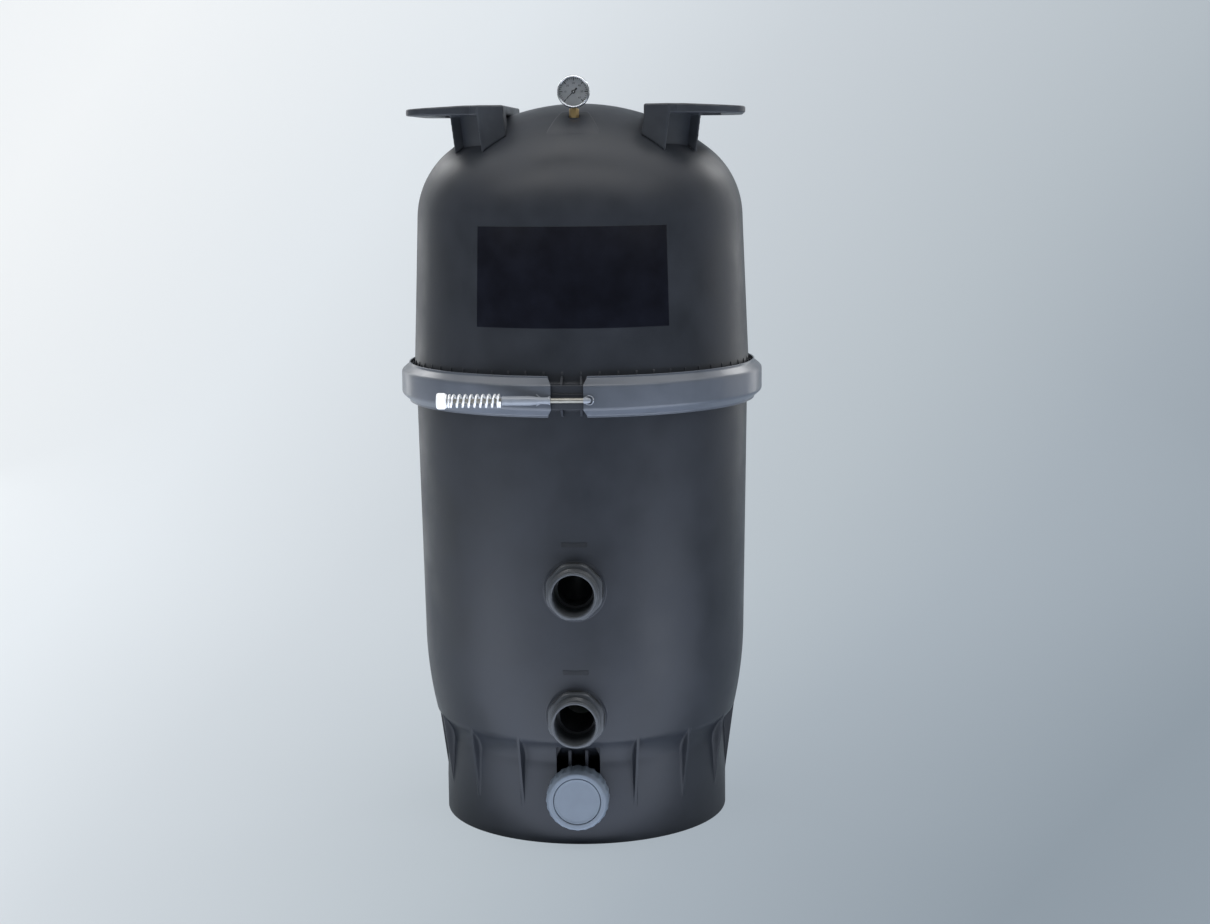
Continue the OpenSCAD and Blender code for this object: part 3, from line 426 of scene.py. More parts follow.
class Shell:
    """Collects closed shells and turns them into one finished piece."""

    def __init__(self) -> None:
        """Starts with nothing."""
        self.points: list[np.ndarray] = []
        self.faces: list[list[int]] = []
        self.count = 0

    def add(self, points: np.ndarray, faces: Sequence[Sequence[int]]) -> None:
        """Adds one closed shell, turned so that its faces point outwards.

        Args:
            points: Its points, in millimetres.
            faces: Its faces, as indices into the points.
        """
        centre = points.mean(0)
        volume = 0.0
        for face in faces:
            p = points[list(face)] - centre
            for k in range(1, len(face) - 1):
                volume += float(np.dot(p[0], np.cross(p[k], p[k + 1])))
        for face in faces:
            indices = [self.count + i for i in face]
            self.faces.append(indices[::-1] if volume < 0 else indices)
        self.points.append(points)
        self.count += len(points)

    def grid(self, rows: np.ndarray, around: bool = True, closed: bool = False) -> None:
        """Adds a shell made of rings.

        Args:
            rows: Points as rings, points in a ring and coordinates.
            around: Whether each ring joins itself.
            closed: Whether the last ring joins the first; otherwise the end rings are capped.
        """
        n, m = rows.shape[:2]
        faces: list[list[int]] = []
        for i in range(n if closed else n - 1):
            a, b = i * m, (i + 1) % n * m
            for j in range(m if around else m - 1):
                k = (j + 1) % m
                faces.append([a + j, a + k, b + k, b + j])
        if not closed:
            for ring in (0, n - 1):
                if np.ptp(rows[ring], axis=0).max() > 1e-6:
                    loop = [ring * m + j for j in range(m)]
                    faces.append(loop if ring else loop[::-1])
        self.add(rows.reshape(-1, 3), faces)

    def lathe(self, profile: Sequence[tuple], count: int, place: Matrix | None = None,
              closed: bool = False) -> None:
        """Adds a turned shell about the Z axis.

        Args:
            profile: Radius and height of each ring; a radius may be one number for each point.
            count: Points in a ring.
            place: Where the shell goes, in millimetres.
            closed: Whether the last ring joins the first.
        """
        ring = circle_points(1, count)
        rows = np.array([np.c_[ring * np.reshape(r, (-1, 1)), np.full(count, z)]
                         for r, z in profile])
        if place is not None:
            rows = moved(rows, place)
        self.grid(rows, True, closed)

    def piece(self, name: str, finish: Finish, sharp: float = SHARP,
              weld: float = 0.004) -> bpy.types.Object:
        """Makes the finished object.

        Args:
            name: Its name.
            finish: Its finish.
            sharp: Edges that turn by more than this, in degrees, stay sharp.
            weld: Points closer than this, in millimetres, become one.

        Returns:
            The new object, at the origin, in metres.
        """
        mesh = bpy.data.meshes.new(name)
        mesh.from_pydata((np.concatenate(self.points) * MM).tolist(), [], self.faces)
        work = bmesh.new()
        work.from_mesh(mesh)
        bmesh.ops.remove_doubles(work, verts=work.verts, dist=weld * MM)
        bmesh.ops.dissolve_degenerate(work, edges=work.edges, dist=1e-7)
        work.to_mesh(mesh)
        work.free()
        return dressed(mesh, name, finish, sharp)


def polygon_radius(sides: int, flat: float, count: int, turn: float = 0.0) -> np.ndarray:
    """Radius of a regular polygon at each point of a ring.

    Args:
        sides: Number of sides.
        flat: Distance from the middle to a side.
        count: Points in the ring.
        turn: Angle of the middle of a side, in degrees.

    Returns:
        One radius for each point.
    """
    step = 2 * np.pi / sides
    a = np.arange(count) * 2 * np.pi / count - math.radians(turn)
    return flat / np.cos((a + step / 2) % step - step / 2)


def thread_rows(root: float, crest: float, pitch: float, start: float, end: float,
                count: int, steps: int = 6) -> list[tuple]:
    """Rings of an outside thread with soft run-outs.

    Args:
        root: Radius between the turns.
        crest: Radius at the tip of the turns.
        pitch: Distance from turn to turn.
        start: Where the thread starts along its axis.
        end: Where it ends.
        count: Points in a ring.
        steps: Rings in a turn.

    Returns:
        Radii and height of each ring, from start to end.
    """
    way = 1 if end > start else -1
    turn = np.arange(count) / count
    rows = []
    for z in np.arange(start, end, way * pitch / steps):
        tooth = np.clip(1.7 * (1 - 2 * np.abs((z / pitch + turn) % 1 - 0.5)) - 0.3, 0, 1)
        fade = np.clip(min(abs(z - start), abs(end - z)) / pitch, 0, 1)
        rows.append((root + (crest - root) * tooth * fade, z))
    return rows


def prism(outline: Sequence[tuple], low: float, high: float) -> tuple[np.ndarray, list]:
    """A straight block over an outline.

    Args:
        outline: The outline's points.
        low: Where it starts along the third axis.
        high: Where it ends.

    Returns:
        Its points and faces.
    """
    flat = np.array(outline, float)
    n = len(flat)
    points = np.concatenate([np.c_[flat, np.full(n, low)], np.c_[flat, np.full(n, high)]])
    faces = [[i, (i + 1) % n, n + (i + 1) % n, n + i] for i in range(n)]
    return points, faces + [list(range(n)), list(range(n, 2 * n))]


def radial(points: np.ndarray) -> np.ndarray:
    """Turns a drawing in a plane through the tank's axis towards the front.

    Args:
        points: Radius, height and sideways place of each point.

    Returns:
        The same points with X to the right, Y to the back and Z up.
    """
    return np.c_[points[:, 2], -points[:, 0], points[:, 1]]


def shown(name: str, data: bpy.types.ID) -> bpy.types.Object:
    """Makes an object at the origin and puts it into the scene.

    Args:
        name: Its name.
        data: Its mesh, curve, lamp or camera.

    Returns:
        The new object.
    """
    made = bpy.data.objects.new(name, data)
    bpy.context.scene.collection.objects.link(made)
    return made


def discard(piece: bpy.types.Object) -> None:
    """Removes an object, with its mesh unless something else uses it.

    Args:
        piece: The object.
    """
    old = piece.data
    bpy.data.objects.remove(piece)
    if old.users == 0:
        bpy.data.meshes.remove(old)


def cut(piece: bpy.types.Object, *tools: bpy.types.Object) -> bpy.types.Object:
    """Cuts tools out of a piece and removes them.

    Args:
        piece: The closed piece.
        *tools: The closed tools.

    Returns:
        The piece with a plain mesh.
    """
    name, finish = piece.name, piece.data.materials[0]
    for tool in tools:
        knife = piece.modifiers.new("cut", "BOOLEAN")
        knife.operation, knife.solver, knife.object = "DIFFERENCE", "EXACT", tool
    mesh = evaluated(piece, name)
    for tool in tools:
        discard(tool)
    mesh.set_sharp_from_angle(angle=math.radians(SHARP))
    mesh.materials.clear()
    mesh.materials.append(finish)
    return shown(name, mesh)


def softened(node: str, name: str, finish: Finish, voxel: float,
             rounds: int) -> bpy.types.Object:
    """Makes a soft-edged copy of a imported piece.

    Args:
        node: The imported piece.
        name: Name of the copy.
        finish: Its finish.
        voxel: Size of its faces, in millimetres.
        rounds: How often it is smoothed.

    Returns:
        The copy.
    """
    made = shown(name, frame["nodes"][node].data.copy())
    work = bmesh.new()
    work.from_mesh(made.data)
    bmesh.ops.remove_doubles(work, verts=work.verts, dist=1e-6)
    work.to_mesh(made.data)
    work.free()
    grid = made.modifiers.new("grid", "REMESH")
    grid.mode, grid.voxel_size = "VOXEL", voxel * MM
    soft = made.modifiers.new("soft", "SMOOTH")
    soft.factor, soft.iterations = 0.5, rounds
    return dressed(evaluated(made, name), name, finish, 60)


def moved(rows: np.ndarray, place: Matrix) -> np.ndarray:
    """Moves points by a matrix.

    Args:
        rows: Points, with their coordinates in the last axis.
        place: The matrix.

    Returns:
        The moved points.
    """
    m = np.array(place)
    return rows @ m[:3, :3].T + m[:3, 3]


def dressed(mesh: bpy.types.Mesh, name: str, finish: Finish,
            sharp: float = SHARP) -> bpy.types.Object:
    """Puts a mesh into the scene with its finish and smooth shading.

    Args:
        mesh: The mesh.
        name: The object's name.
        finish: The finish.
        sharp: Edges that turn by more than this, in degrees, stay sharp.

    Returns:
        The new object.
    """
    mesh.polygons.foreach_set("use_smooth", [True] * len(mesh.polygons))
    mesh.set_sharp_from_angle(angle=math.radians(sharp))
    mesh.materials.clear()
    mesh.materials.append(finish.material())
    return shown(name, mesh)


def facing(y: float, z: float, x: float = 0.0) -> Matrix:
    """Place of a piece that is turned about an axis towards the front.

    Args:
        y: Distance of its origin in front of the tank's middle.
        z: Height of its axis.
        x: Sideways place of its axis.

    Returns:
        A matrix that takes +Z to -Y.
    """
    return Matrix.Translation((x, -y, z)) @ Matrix.Rotation(math.pi / 2, 4, "X")


def evaluated(source: bpy.types.Object, name: str) -> bpy.types.Mesh:
    """Turns an object with live modifiers into a plain mesh and removes the object.

    Args:
        source: The object with modifiers.
        name: Name of the new mesh.

    Returns:
        The plain mesh.
    """
    depsgraph = bpy.context.evaluated_depsgraph_get()
    made = bpy.data.meshes.new_from_object(source.evaluated_get(depsgraph))
    made.name = name
    discard(source)
    return made


def settle(piece: bpy.types.Object, body: str, slot: str,
           *stands_for: str) -> bpy.types.Object:
    """Ties a finished piece to its body.

    Args:
        piece: The piece.
        body: The body it moves with.
        slot: The record's material slot; not used.
        *stands_for: The CAD nodes that it replaces.

    Returns:
        The same piece.
    """
    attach(piece, body)
    if stands_for:
        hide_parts(*stands_for)
    LOG.info("%s rides on %s, %d faces", piece.name, body, len(piece.data.polygons))
    return piece


# Repeats made by Geometry Nodes

class Repeat:
    """A Geometry Nodes tree that repeats its input round an axis."""

    def __init__(self, name: str) -> None:
        """Builds the tree.

        Args:
            name: The tree's name.
        """
        tree = bpy.data.node_groups.new(name, "GeometryNodeTree")
        self.tree = tree
        face = tree.interface
        face.new_socket("Geometry", in_out="INPUT", socket_type="NodeSocketGeometry")
        self.ids = {
            key: face.new_socket(key, in_out="INPUT", socket_type=kind).identifier
            for key, kind in (("Copies", "NodeSocketInt"), ("Turn", "NodeSocketVector"),
                              ("Start", "NodeSocketVector"), ("Pivot", "NodeSocketVector"),
                              ("Material", "NodeSocketMaterial"))}
        face.new_socket("Geometry", in_out="OUTPUT", socket_type="NodeSocketGeometry")
        add, link = tree.nodes.new, tree.links.new
        given, result = add("NodeGroupInput"), add("NodeGroupOutput")
        line, index = add("GeometryNodeMeshLine"), add("GeometryNodeInputIndex")
        turn, start = add("ShaderNodeVectorMath"), add("ShaderNodeVectorMath")
        turn.operation, start.operation = "SCALE", "ADD"
        place, real = add("GeometryNodeInstanceOnPoints"), add("GeometryNodeRealizeInstances")
        finish = add("GeometryNodeSetMaterial")
        line.mode = "OFFSET"
        line.inputs["Offset"].default_value = (0, 0, 0)
        link(given.outputs["Copies"], line.inputs["Count"])
        link(given.outputs["Pivot"], line.inputs["Start Location"])
        link(given.outputs["Turn"], turn.inputs[0])
        link(index.outputs[0], turn.inputs["Scale"])
        link(turn.outputs[0], start.inputs[0])
        link(given.outputs["Start"], start.inputs[1])
        link(line.outputs["Mesh"], place.inputs["Points"])
        link(given.outputs["Geometry"], place.inputs["Instance"])
        link(start.outputs[0], place.inputs["Rotation"])
        link(place.outputs["Instances"], real.inputs["Geometry"])
        link(real.outputs["Geometry"], finish.inputs["Geometry"])
        link(given.outputs["Material"], finish.inputs["Material"])
        link(finish.outputs["Geometry"], result.inputs[0])

    def run(self, source: bpy.types.Object, copies: int, turn: Sequence[float],
            pivot: Sequence[float], finish: Finish,
            start: Sequence[float] = (0, 0, 0)) -> bpy.types.Object:
        """Repeats a piece and makes it a plain mesh.

        Args:
            source: One copy, drawn about the pivot as its origin.
            copies: How many copies.
            turn: Turn from one copy to the next, in degrees about each axis.
            pivot: Where the axis is, in millimetres.
            finish: The finish of the copies.
            start: Turn of the first copy, in degrees about each axis.

        Returns:
            The finished object.
        """
        name = source.name
        live = source.modifiers.new("repeat", "NODES")
        live.node_group = self.tree
        live[self.ids["Copies"]] = copies
        live[self.ids["Turn"]] = [math.radians(t) for t in turn]
        live[self.ids["Start"]] = [math.radians(t) for t in start]
        live[self.ids["Pivot"]] = [p * MM for p in pivot]
        live[self.ids["Material"]] = finish.material()
        return dressed(evaluated(source, name), name, finish)


class Sweep:
    """A Geometry Nodes tree that draws a round wire along a path of points."""

    def __init__(self, name: str) -> None:
        """Builds the tree.

        Args:
            name: The tree's name.
        """
        tree = bpy.data.node_groups.new(name, "GeometryNodeTree")
        self.tree = tree
        face = tree.interface
        face.new_socket("Geometry", in_out="INPUT", socket_type="NodeSocketGeometry")
        self.ids = {
            key: face.new_socket(key, in_out="INPUT", socket_type=kind).identifier
            for key, kind in (("Radius", "NodeSocketFloat"), ("Sides", "NodeSocketInt"),
                              ("Material", "NodeSocketMaterial"))}
        face.new_socket("Geometry", in_out="OUTPUT", socket_type="NodeSocketGeometry")
        add, link = tree.nodes.new, tree.links.new
        given, result = add("NodeGroupInput"), add("NodeGroupOutput")
        curve, ring = add("GeometryNodeMeshToCurve"), add("GeometryNodeCurvePrimitiveCircle")
        wire, real = add("GeometryNodeCurveToMesh"), add("GeometryNodeRealizeInstances")
        finish = add("GeometryNodeSetMaterial")
        wire.inputs["Fill Caps"].default_value = True
        link(given.outputs["Geometry"], curve.inputs["Mesh"])
        link(given.outputs["Sides"], ring.inputs["Resolution"])
        link(given.outputs["Radius"], ring.inputs["Radius"])
        link(curve.outputs["Curve"], wire.inputs["Curve"])
        link(ring.outputs["Curve"], wire.inputs["Profile Curve"])
        link(wire.outputs["Mesh"], real.inputs["Geometry"])
        link(real.outputs["Geometry"], finish.inputs["Geometry"])
        link(given.outputs["Material"], finish.inputs["Material"])
        link(finish.outputs["Geometry"], result.inputs[0])

    def run(self, name: str, path: np.ndarray, radius: float, finish: Finish,
            sides: int = 12) -> bpy.types.Object:
        """Draws the wire and makes it a plain mesh.

        Args:
            name: The piece's name.
            path: Points of the path, in millimetres.
            radius: Radius of the wire.
            finish: Its finish.
            sides: Sides of the wire.

        Returns:
            The finished object.
        """
        mesh = bpy.data.meshes.new(name)
        edges = [(i, i + 1) for i in range(len(path) - 1)]
        mesh.from_pydata((path * MM).tolist(), edges, [])
        source = shown(name, mesh)
        live = source.modifiers.new("sweep", "NODES")
        live.node_group = self.tree
        live[self.ids["Radius"]] = radius * MM
        live[self.ids["Sides"]] = sides
        live[self.ids["Material"]] = finish.material()
        return dressed(evaluated(source, name), name, finish, 50)


def joined(name: str, pieces: Sequence[bpy.types.Object], finish: Finish,
           sharp: float = SHARP) -> bpy.types.Object:
    """Joins pieces into one object.

    Args:
        name: Name of the new object.
        pieces: The pieces, all at the origin.
        finish: The finish of the whole.
        sharp: Edges that turn by more than this, in degrees, stay sharp.

    Returns:
        The new object.
    """
    work = bmesh.new()
    for piece in pieces:
        work.from_mesh(piece.data)
        discard(piece)
    mesh = bpy.data.meshes.new(name)
    work.to_mesh(mesh)
    work.free()
    return dressed(mesh, name, finish, sharp)


# Tank halves

@dataclass
class LowerTank:
    """The bowl with its skirt, fins, bosses and flange."""

    base_r: float = 230.0
    top_r: float = 226.0
    step_z: float = 54.0
    skirt_t: float = 6.0
    fold_z: float = 158.0
    turn_r: float = 20.0
    turn_a: float = 12.4
    belly_r: float = 260.4
    belly_z: float = 310.0
    rim_r: float = 266.8
    flange_r: float = 285.0
    flange_z: float = 689.9
    clamp_z: float = 708.4
    seam_z: float = 714.4
    wall: float = 7.0
    sump_z: float = 48.0
    foot_r: float = 28.0
    fins: int = 16
    gussets: int = 60
    webs: int = 12
    slot_half: float = 33.85
    slot_r: float = 44.0
    drain_z: float = 80.6
    inlet_z: float = 411.0
    outlet_z: float = 210.5
    inlet_face: float = 264.0
    outlet_face: float = 259.0
    inlet_back: float = 247.0
    outlet_back: float = 232.0
    hole_r: float = 36.65
    turn_end: tuple[float, float] = field(init=False)
    arc_r: float = field(init=False)

    def __post_init__(self) -> None:
        """Works out where the turn ends and how round the belly is."""
        a = math.radians(self.turn_a)
        self.turn_end = (self.top_r + self.turn_r * math.cos(a),
                         self.fold_z + self.turn_r * (1 - math.sin(a)))
        dz, dr = self.belly_z - self.turn_end[1], self.belly_r - self.turn_end[0]
        self.arc_r = (dz * dz + dr * dr) / (2 * dr)

    def radius(self, z: float) -> float:
        """Outer radius of the wall at a height above the fold.

        Args:
            z: The height.

        Returns:
            The radius.
        """
        if z > self.belly_z:
            share = (z - self.belly_z) / (self.seam_z - self.belly_z)
            return self.belly_r + (self.rim_r - self.belly_r) * share
        down = self.belly_z - z
        return self.belly_r - self.arc_r + math.sqrt(self.arc_r ** 2 - down ** 2)

    def drop(self, share: float) -> float:
        """How far the bowl hangs at a share of its radius, as a share of its depth.

        Args:
            share: Share of the bowl's radius.

        Returns:
            The share of its depth.
        """
        return (1 - share ** 1.3) ** (1 / 1.3)

    def columns(self) -> tuple[np.ndarray, np.ndarray]:
        """Angles of the mesh's columns and how much of a fin each one has.

        Returns:
            Angles from the front, and shares between 0 on a panel and 1 on a fin.
        """
        beside = [9, 6.4, 4.8, 3.7, 3.1, 2.75, 2.45, 2.1, 1.2]
        rise = [0, 0.012, 0.05, 0.14, 0.3, 0.6, 0.9, 0.985, 1]
        fin_r, gap = 238, 0.036
        offsets = np.array([-d for d in beside] + [0] + beside[::-1]) / fin_r
        step, margin = 2 * math.pi / self.fins, beside[0] / fin_r
        angles, weights = [0.0], [0.0]
        for i in range(self.fins):
            if i:
                angles += list(i * step + offsets)
                weights += rise + [1] + rise[::-1]
            start = i * step + margin if i else 0
            end = (i + 1) * step - margin if i < self.fins - 1 else 2 * math.pi
            panels = max(2, round((end - start) / gap))
            inner = start + (end - start) * np.arange(1, panels) / panels
            angles += list(inner)
            weights += [0] * len(inner)
        order = np.argsort(angles)
        return np.array(angles)[order], np.array(weights, float)[order]

    def outside(self) -> tuple[list[tuple], list[tuple]]:
        """Rings of the outer face, from the floor to the joint.

        Returns:
            The rings' places on a panel between two fins, and their places on a fin.
        """
        base, low = self.base_r, self.step_z
        skirt = [(base - 1.4, 0), (base - 0.3, 0.4), (base, 1.5), (base, 14), (base, 30),
                 (base, 44), (base - 0.02, 50), (base - 0.1, low), (base - 0.25, low + 4)]
        for z in (66, 78, 90, 102, 114, 126):
            share = (z - low) / (self.fold_z - low)
            skirt.append((base + (self.top_r - base) * share, z))
        start, bend = np.array([226.4, 130]), np.array([226.4, 150.1])
        end = np.array([self.top_r + 14.14, self.fold_z + 5.86])
        fillet = [tuple((1 - t) ** 2 * start + 2 * t * (1 - t) * bend + t * t * end)
                  for t in np.linspace(0, 0.94, 9)]
        panel = skirt + fillet + arc(self.top_r, self.fold_z + self.turn_r, self.turn_r, -45,
                                     -self.turn_a, 7)
        foot = base - 0.4
        fin = []
        for r, z in panel:
            share = (z - low) / (self.turn_end[1] - low)
            line = foot + (self.turn_end[0] - foot) * share
            fin.append((max(r, line) if z > low else r, z))
        belly = [(self.radius(z), z) for z in
                 list(np.arange(180, self.belly_z, 11)) + [self.belly_z]
                 + list(np.arange(330, 680, 25)) + [684]]
        r, z = self.flange_r, self.flange_z
        rim = [(r - 18.6, z - 2.9), (r - 17.8, z - 0.9), (r - 16, z), (r - 1.2, z),
               (r - 0.3, z + 0.3), (r, z + 1.1), (r, self.seam_z - 1),
               (r - 0.6, self.seam_z - 0.1)]
        return panel + belly + rim, fin + belly + rim

    def inside(self) -> list[tuple]:
        """Rings of the seal's groove, the cavity and its bottom.

        Returns:
            Radius and height of each ring, from the flange to the middle of the bowl.
        """
        z, far, near, deep = self.seam_z, 275.35, 268.65, 6.7
        groove = [(far + 0.65, z), (far, z - 0.4), (far, z - deep), (near, z - deep),
                  (near, z - 0.4), (near - 0.65, z), (261, z), (259.8, z - 1)]
        wall = [(self.radius(h) - self.wall, h)
                for h in (690, 620, 540, 460, 380, 310, 280, 250, 220, 195)]
        bend = arc(self.top_r, self.fold_z + self.turn_r, self.turn_r - self.wall, -20, -88, 6)
        bowl_a = self.top_r - self.skirt_t + 2 - self.wall
        bowl_b = self.fold_z - self.sump_z - self.wall
        bowl = [(bowl_a * s, self.fold_z - bowl_b * self.drop(s))
                for s in (0.998, 0.985, 0.96, 0.92, 0.85, 0.75, 0.6, 0.44, 0.28, 0.12)]
        return groove + wall + bend + bowl + [(0, self.fold_z - bowl_b)]

    def under(self) -> list[tuple]:
        """Rings from the middle of the foot to the skirt's lower edge.

        Returns:
            Radius and height of each ring.
        """
        a, b = self.top_r - self.skirt_t + 2, self.fold_z - self.sump_z
        foot, deep = self.foot_r, self.base_r - self.skirt_t
        stand = [(0, 0), (foot - 1.5, 0), (foot, 1.5), (foot, 52), (foot + 1.5, 56)]
        bowl = [(a * s, self.fold_z - b * self.drop(s))
                for s in (0.18, 0.3, 0.45, 0.6, 0.74, 0.85, 0.92, 0.96, 0.985)]
        inner = [(deep - 4.4, 138), (deep - 3.4, 132), (deep - 2, 100), (deep - 0.4, 54),
                 (deep, 20), (deep, 1.2), (deep + 1, 0)]
        return stand + bowl + inner

    def slot(self) -> Shell:
        """Draws the block that opens the front of the skirt for the drain.

        Returns:
            The closed block: a keyhole with a round end about the drain.
        """
        half, high, inner, past = self.slot_half, 157, 217, 245
        side = math.sqrt(self.slot_r ** 2 - half ** 2) + self.drain_z
        around = [(x, z) for x, z in circle_points(self.slot_r, 64) + (0, self.drain_z)
                  if (abs(x) > half or z < self.drain_z + 20) and z < side]
        around.sort(key=lambda p: math.atan2(p[0], self.drain_z - p[1]))
        top = [(half, side), (half, high - 2), (half - 2, high), (2 - half, high),
               (-half, high - 2), (-half, side)]
        points, faces = prism(around + top, inner, past)
        shell = Shell()
        shell.add(np.c_[points[:, 0], -points[:, 2], points[:, 1]], faces)
        return shell

    def body(self) -> bpy.types.Object:
        """Builds the moulded body as one closed shell with its openings cut.

        Returns:
            The finished object.
        """
        angles, weights = self.columns()
        panel, fin = (np.array(rows) for rows in self.outside())
        first, last = (np.repeat(np.array(rows)[:, None, :], len(angles), 1)
                       for rows in (self.under(), self.inside()))
        share = weights[None, :, None]
        outer = panel[:, None, :] * (1 - share) + fin[:, None, :] * share
        rows = np.concatenate([first, outer, last])
        r, z = rows[..., 0], rows[..., 1]
        shell = Shell()
        shell.grid(np.stack([r * np.sin(angles), -r * np.cos(angles), z], -1))
        whole = shell.piece("tank_body", TANK)
        tools = [self.slot()]
        for z, back in ((self.inlet_z, self.inlet_face - 27), (self.outlet_z, 205)):
            tools.append(Shell())
            tools[-1].lathe([(0, back), (self.hole_r, back), (self.hole_r, 290), (0, 290)], 96,
                            facing(0, z))
        return cut(whole, *[tool.piece(f"tool_{i}", TANK) for i, tool in enumerate(tools)])

    def boss(self, z: float, face: float, back: float) -> Shell:
        """Draws a port's boss, with a fillet that follows the wall.

        Args:
            z: Height of the port.
            face: Distance of its face in front of the middle.
            back: Distance of its back.

        Returns:
            The closed boss.
        """
        count = 96
        ring = circle_points(1, count)
        across, up = ring[:, 0], ring[:, 1]

        def wall(r: float, lift: float) -> np.ndarray:
            """Distance of the tank's wall in front of the middle, round the port.

            Args:
                r: Distance from the port's axis.
                lift: Height over the wall.

            Returns:
                One distance for each point of the ring.
            """
            out = np.array([self.radius(h) for h in z + r * up])
            return np.sqrt(out ** 2 - (r * across) ** 2) + lift

        hole = self.hole_r
        rows = [(hole, back), (hole, face - 0.5), (hole + 0.55, face), (44.8, face),
                (45.7, face - 0.4),
                (46.0, np.minimum(face - 1.2, np.maximum(wall(46, 2.6), face - 14))),
                (46.5, np.minimum(face - 1.3, wall(46.5, 1.3))),
                (47.6, np.minimum(face - 1.5, wall(47.6, 0.4))),
                (49.4, np.minimum(face - 2, wall(49.4, -0.15))), (49.6, wall(49.6, -2)),
                (44, back + 1), (43, back)]
        shell = Shell()
        shell.grid(np.array([np.c_[across * r, -y * np.ones(count), z + up * r]
                             for r, y in rows]), closed=True)
        return shell

    def gusset(self, side: int) -> Shell:
        """Draws one rib between the wall and the flange.

        Args:
            side: 1 above the clamp's middle, -1 below it.

        Returns:
            The closed rib, at the front.
        """
        wall, end = (267.7, 38) if side > 0 else (self.radius(660.4), 31)
        rim, lip = self.flange_r - 1, 15.5
        outline = [(wall - 5, lip), (rim, lip), (rim, 19.36), (275.5, 28), (wall + 2.2, 30.5),
                   (wall + 1.8, end - 3), (wall + 0.2, end), (wall - 5, end + 0.4)]
        flat = np.array([(r, self.clamp_z + side * z) for r, z in outline])
        inner = flat.mean(0)
        shell = Shell()
        shell.grid(np.array([radial(np.c_[inner + (flat - inner) * share,
                                          np.full(len(flat), x)])
                             for x, share in ((-1.75, 0.96), (-1.3, 1), (1.3, 1),
                                              (1.75, 0.96))]))
        return shell

    def web(self) -> Shell:
        """Draws one radial web under the bowl.

        Returns:
            The closed web, at the front.
        """
        r0, r1, t = self.foot_r - 2, self.base_r - self.skirt_t + 1, 2.5
        low = 14
        a, b = self.top_r - self.skirt_t, self.fold_z - self.sump_z - 2
        roof = [(r, self.fold_z - b * self.drop(min(1.0, r / a)))
                for r in np.linspace(r1 - 6, r0, 14)]
        points, faces = prism([(r0, low), (r0 + 30, low), (r1, low), (r1, 140)] + roof, -t, t)
        shell = Shell()
        shell.add(radial(points), faces)
        return shell

    def neck(self) -> Shell:
        """Draws the drain's neck and spigot and the two ribs above it.

        Returns:
            The closed neck and ribs.
        """
        shell = Shell()
        turns = thread_rows(40, 41, 3, 226, 244.5, 72)
        shell.lathe([(25, 125), (25, 245), (26, 246), (39.6, 246), (40, 245)] + turns[::-1]
                    + [(40, 225), (40, 221), (32.8, 220), (32, 218), (32, 125)], 72,
                    facing(0, self.drain_z), closed=True)
        for x in (-13, 13):
            outline = rounded([(128, 84), (222.5, 84), (222.5, 150), (180, 128), (128, 100)],
                              [0, 1.5, 1.5, 0, 0], 3)
            points, faces = prism(outline, x - 2.25, x + 2.25)
            shell.add(radial(points), faces)
        return shell

    def tab(self, z: float, name: str) -> bpy.types.Object:
        """Makes the small bare tab over a port.

        Args:
            z: Height of its middle.
            name: Its name.

        Returns:
            The finished object.
        """
        half, high = 20, 3.7
        outline = np.array(rounded([(-half, -high), (half, -high), (half, high),
                                    (-half, high)], [1.2] * 4, 4))
        rows = []
        for lift, share in ((-1, 1), (0.5, 1), (0.8, 0.985), (0.8, 0.6), (0.8, 0.02)):
            x, up = outline[:, 0] * share, outline[:, 1] * share
            r = np.array([self.radius(z + h) for h in up]) + lift
            rows.append(np.c_[r * np.sin(x / r), -r * np.cos(x / r), z + up])
        shell = Shell()
        shell.grid(np.array(rows))
        return shell.piece(name, TAB)

    def build(self, repeat: Repeat) -> None:
        """Builds every piece of the lower tank.

        Args:
            repeat: The tree that repeats pieces round an axis.
        """
        settle(self.body(), "base", "tank", "lower_tank")
        for name, shell in (
                ("inlet_boss", self.boss(self.inlet_z, self.inlet_face, self.inlet_back)),
                ("outlet_boss", self.boss(self.outlet_z, self.outlet_face, self.outlet_back)),
                ("drain_neck", self.neck())):
            settle(shell.piece(name, TANK), "base", "tank", "lower_tank")
        for name, shell, copies in (("lower_gussets", self.gusset(-1), self.gussets),
                                    ("bowl_webs", self.web(), self.webs)):
            ring = repeat.run(shell.piece(name, TANK), copies, (0, 0, 360 / copies),
                              (0, 0, 0), TANK, (0, 0, 180 / copies))
            settle(ring, "base", "tank", "lower_tank")
        settle(self.tab(self.inlet_z + 70.6, "inlet_tab"), "base", "tank")
        settle(self.tab(self.outlet_z + 72, "outlet_tab"), "base", "tank")


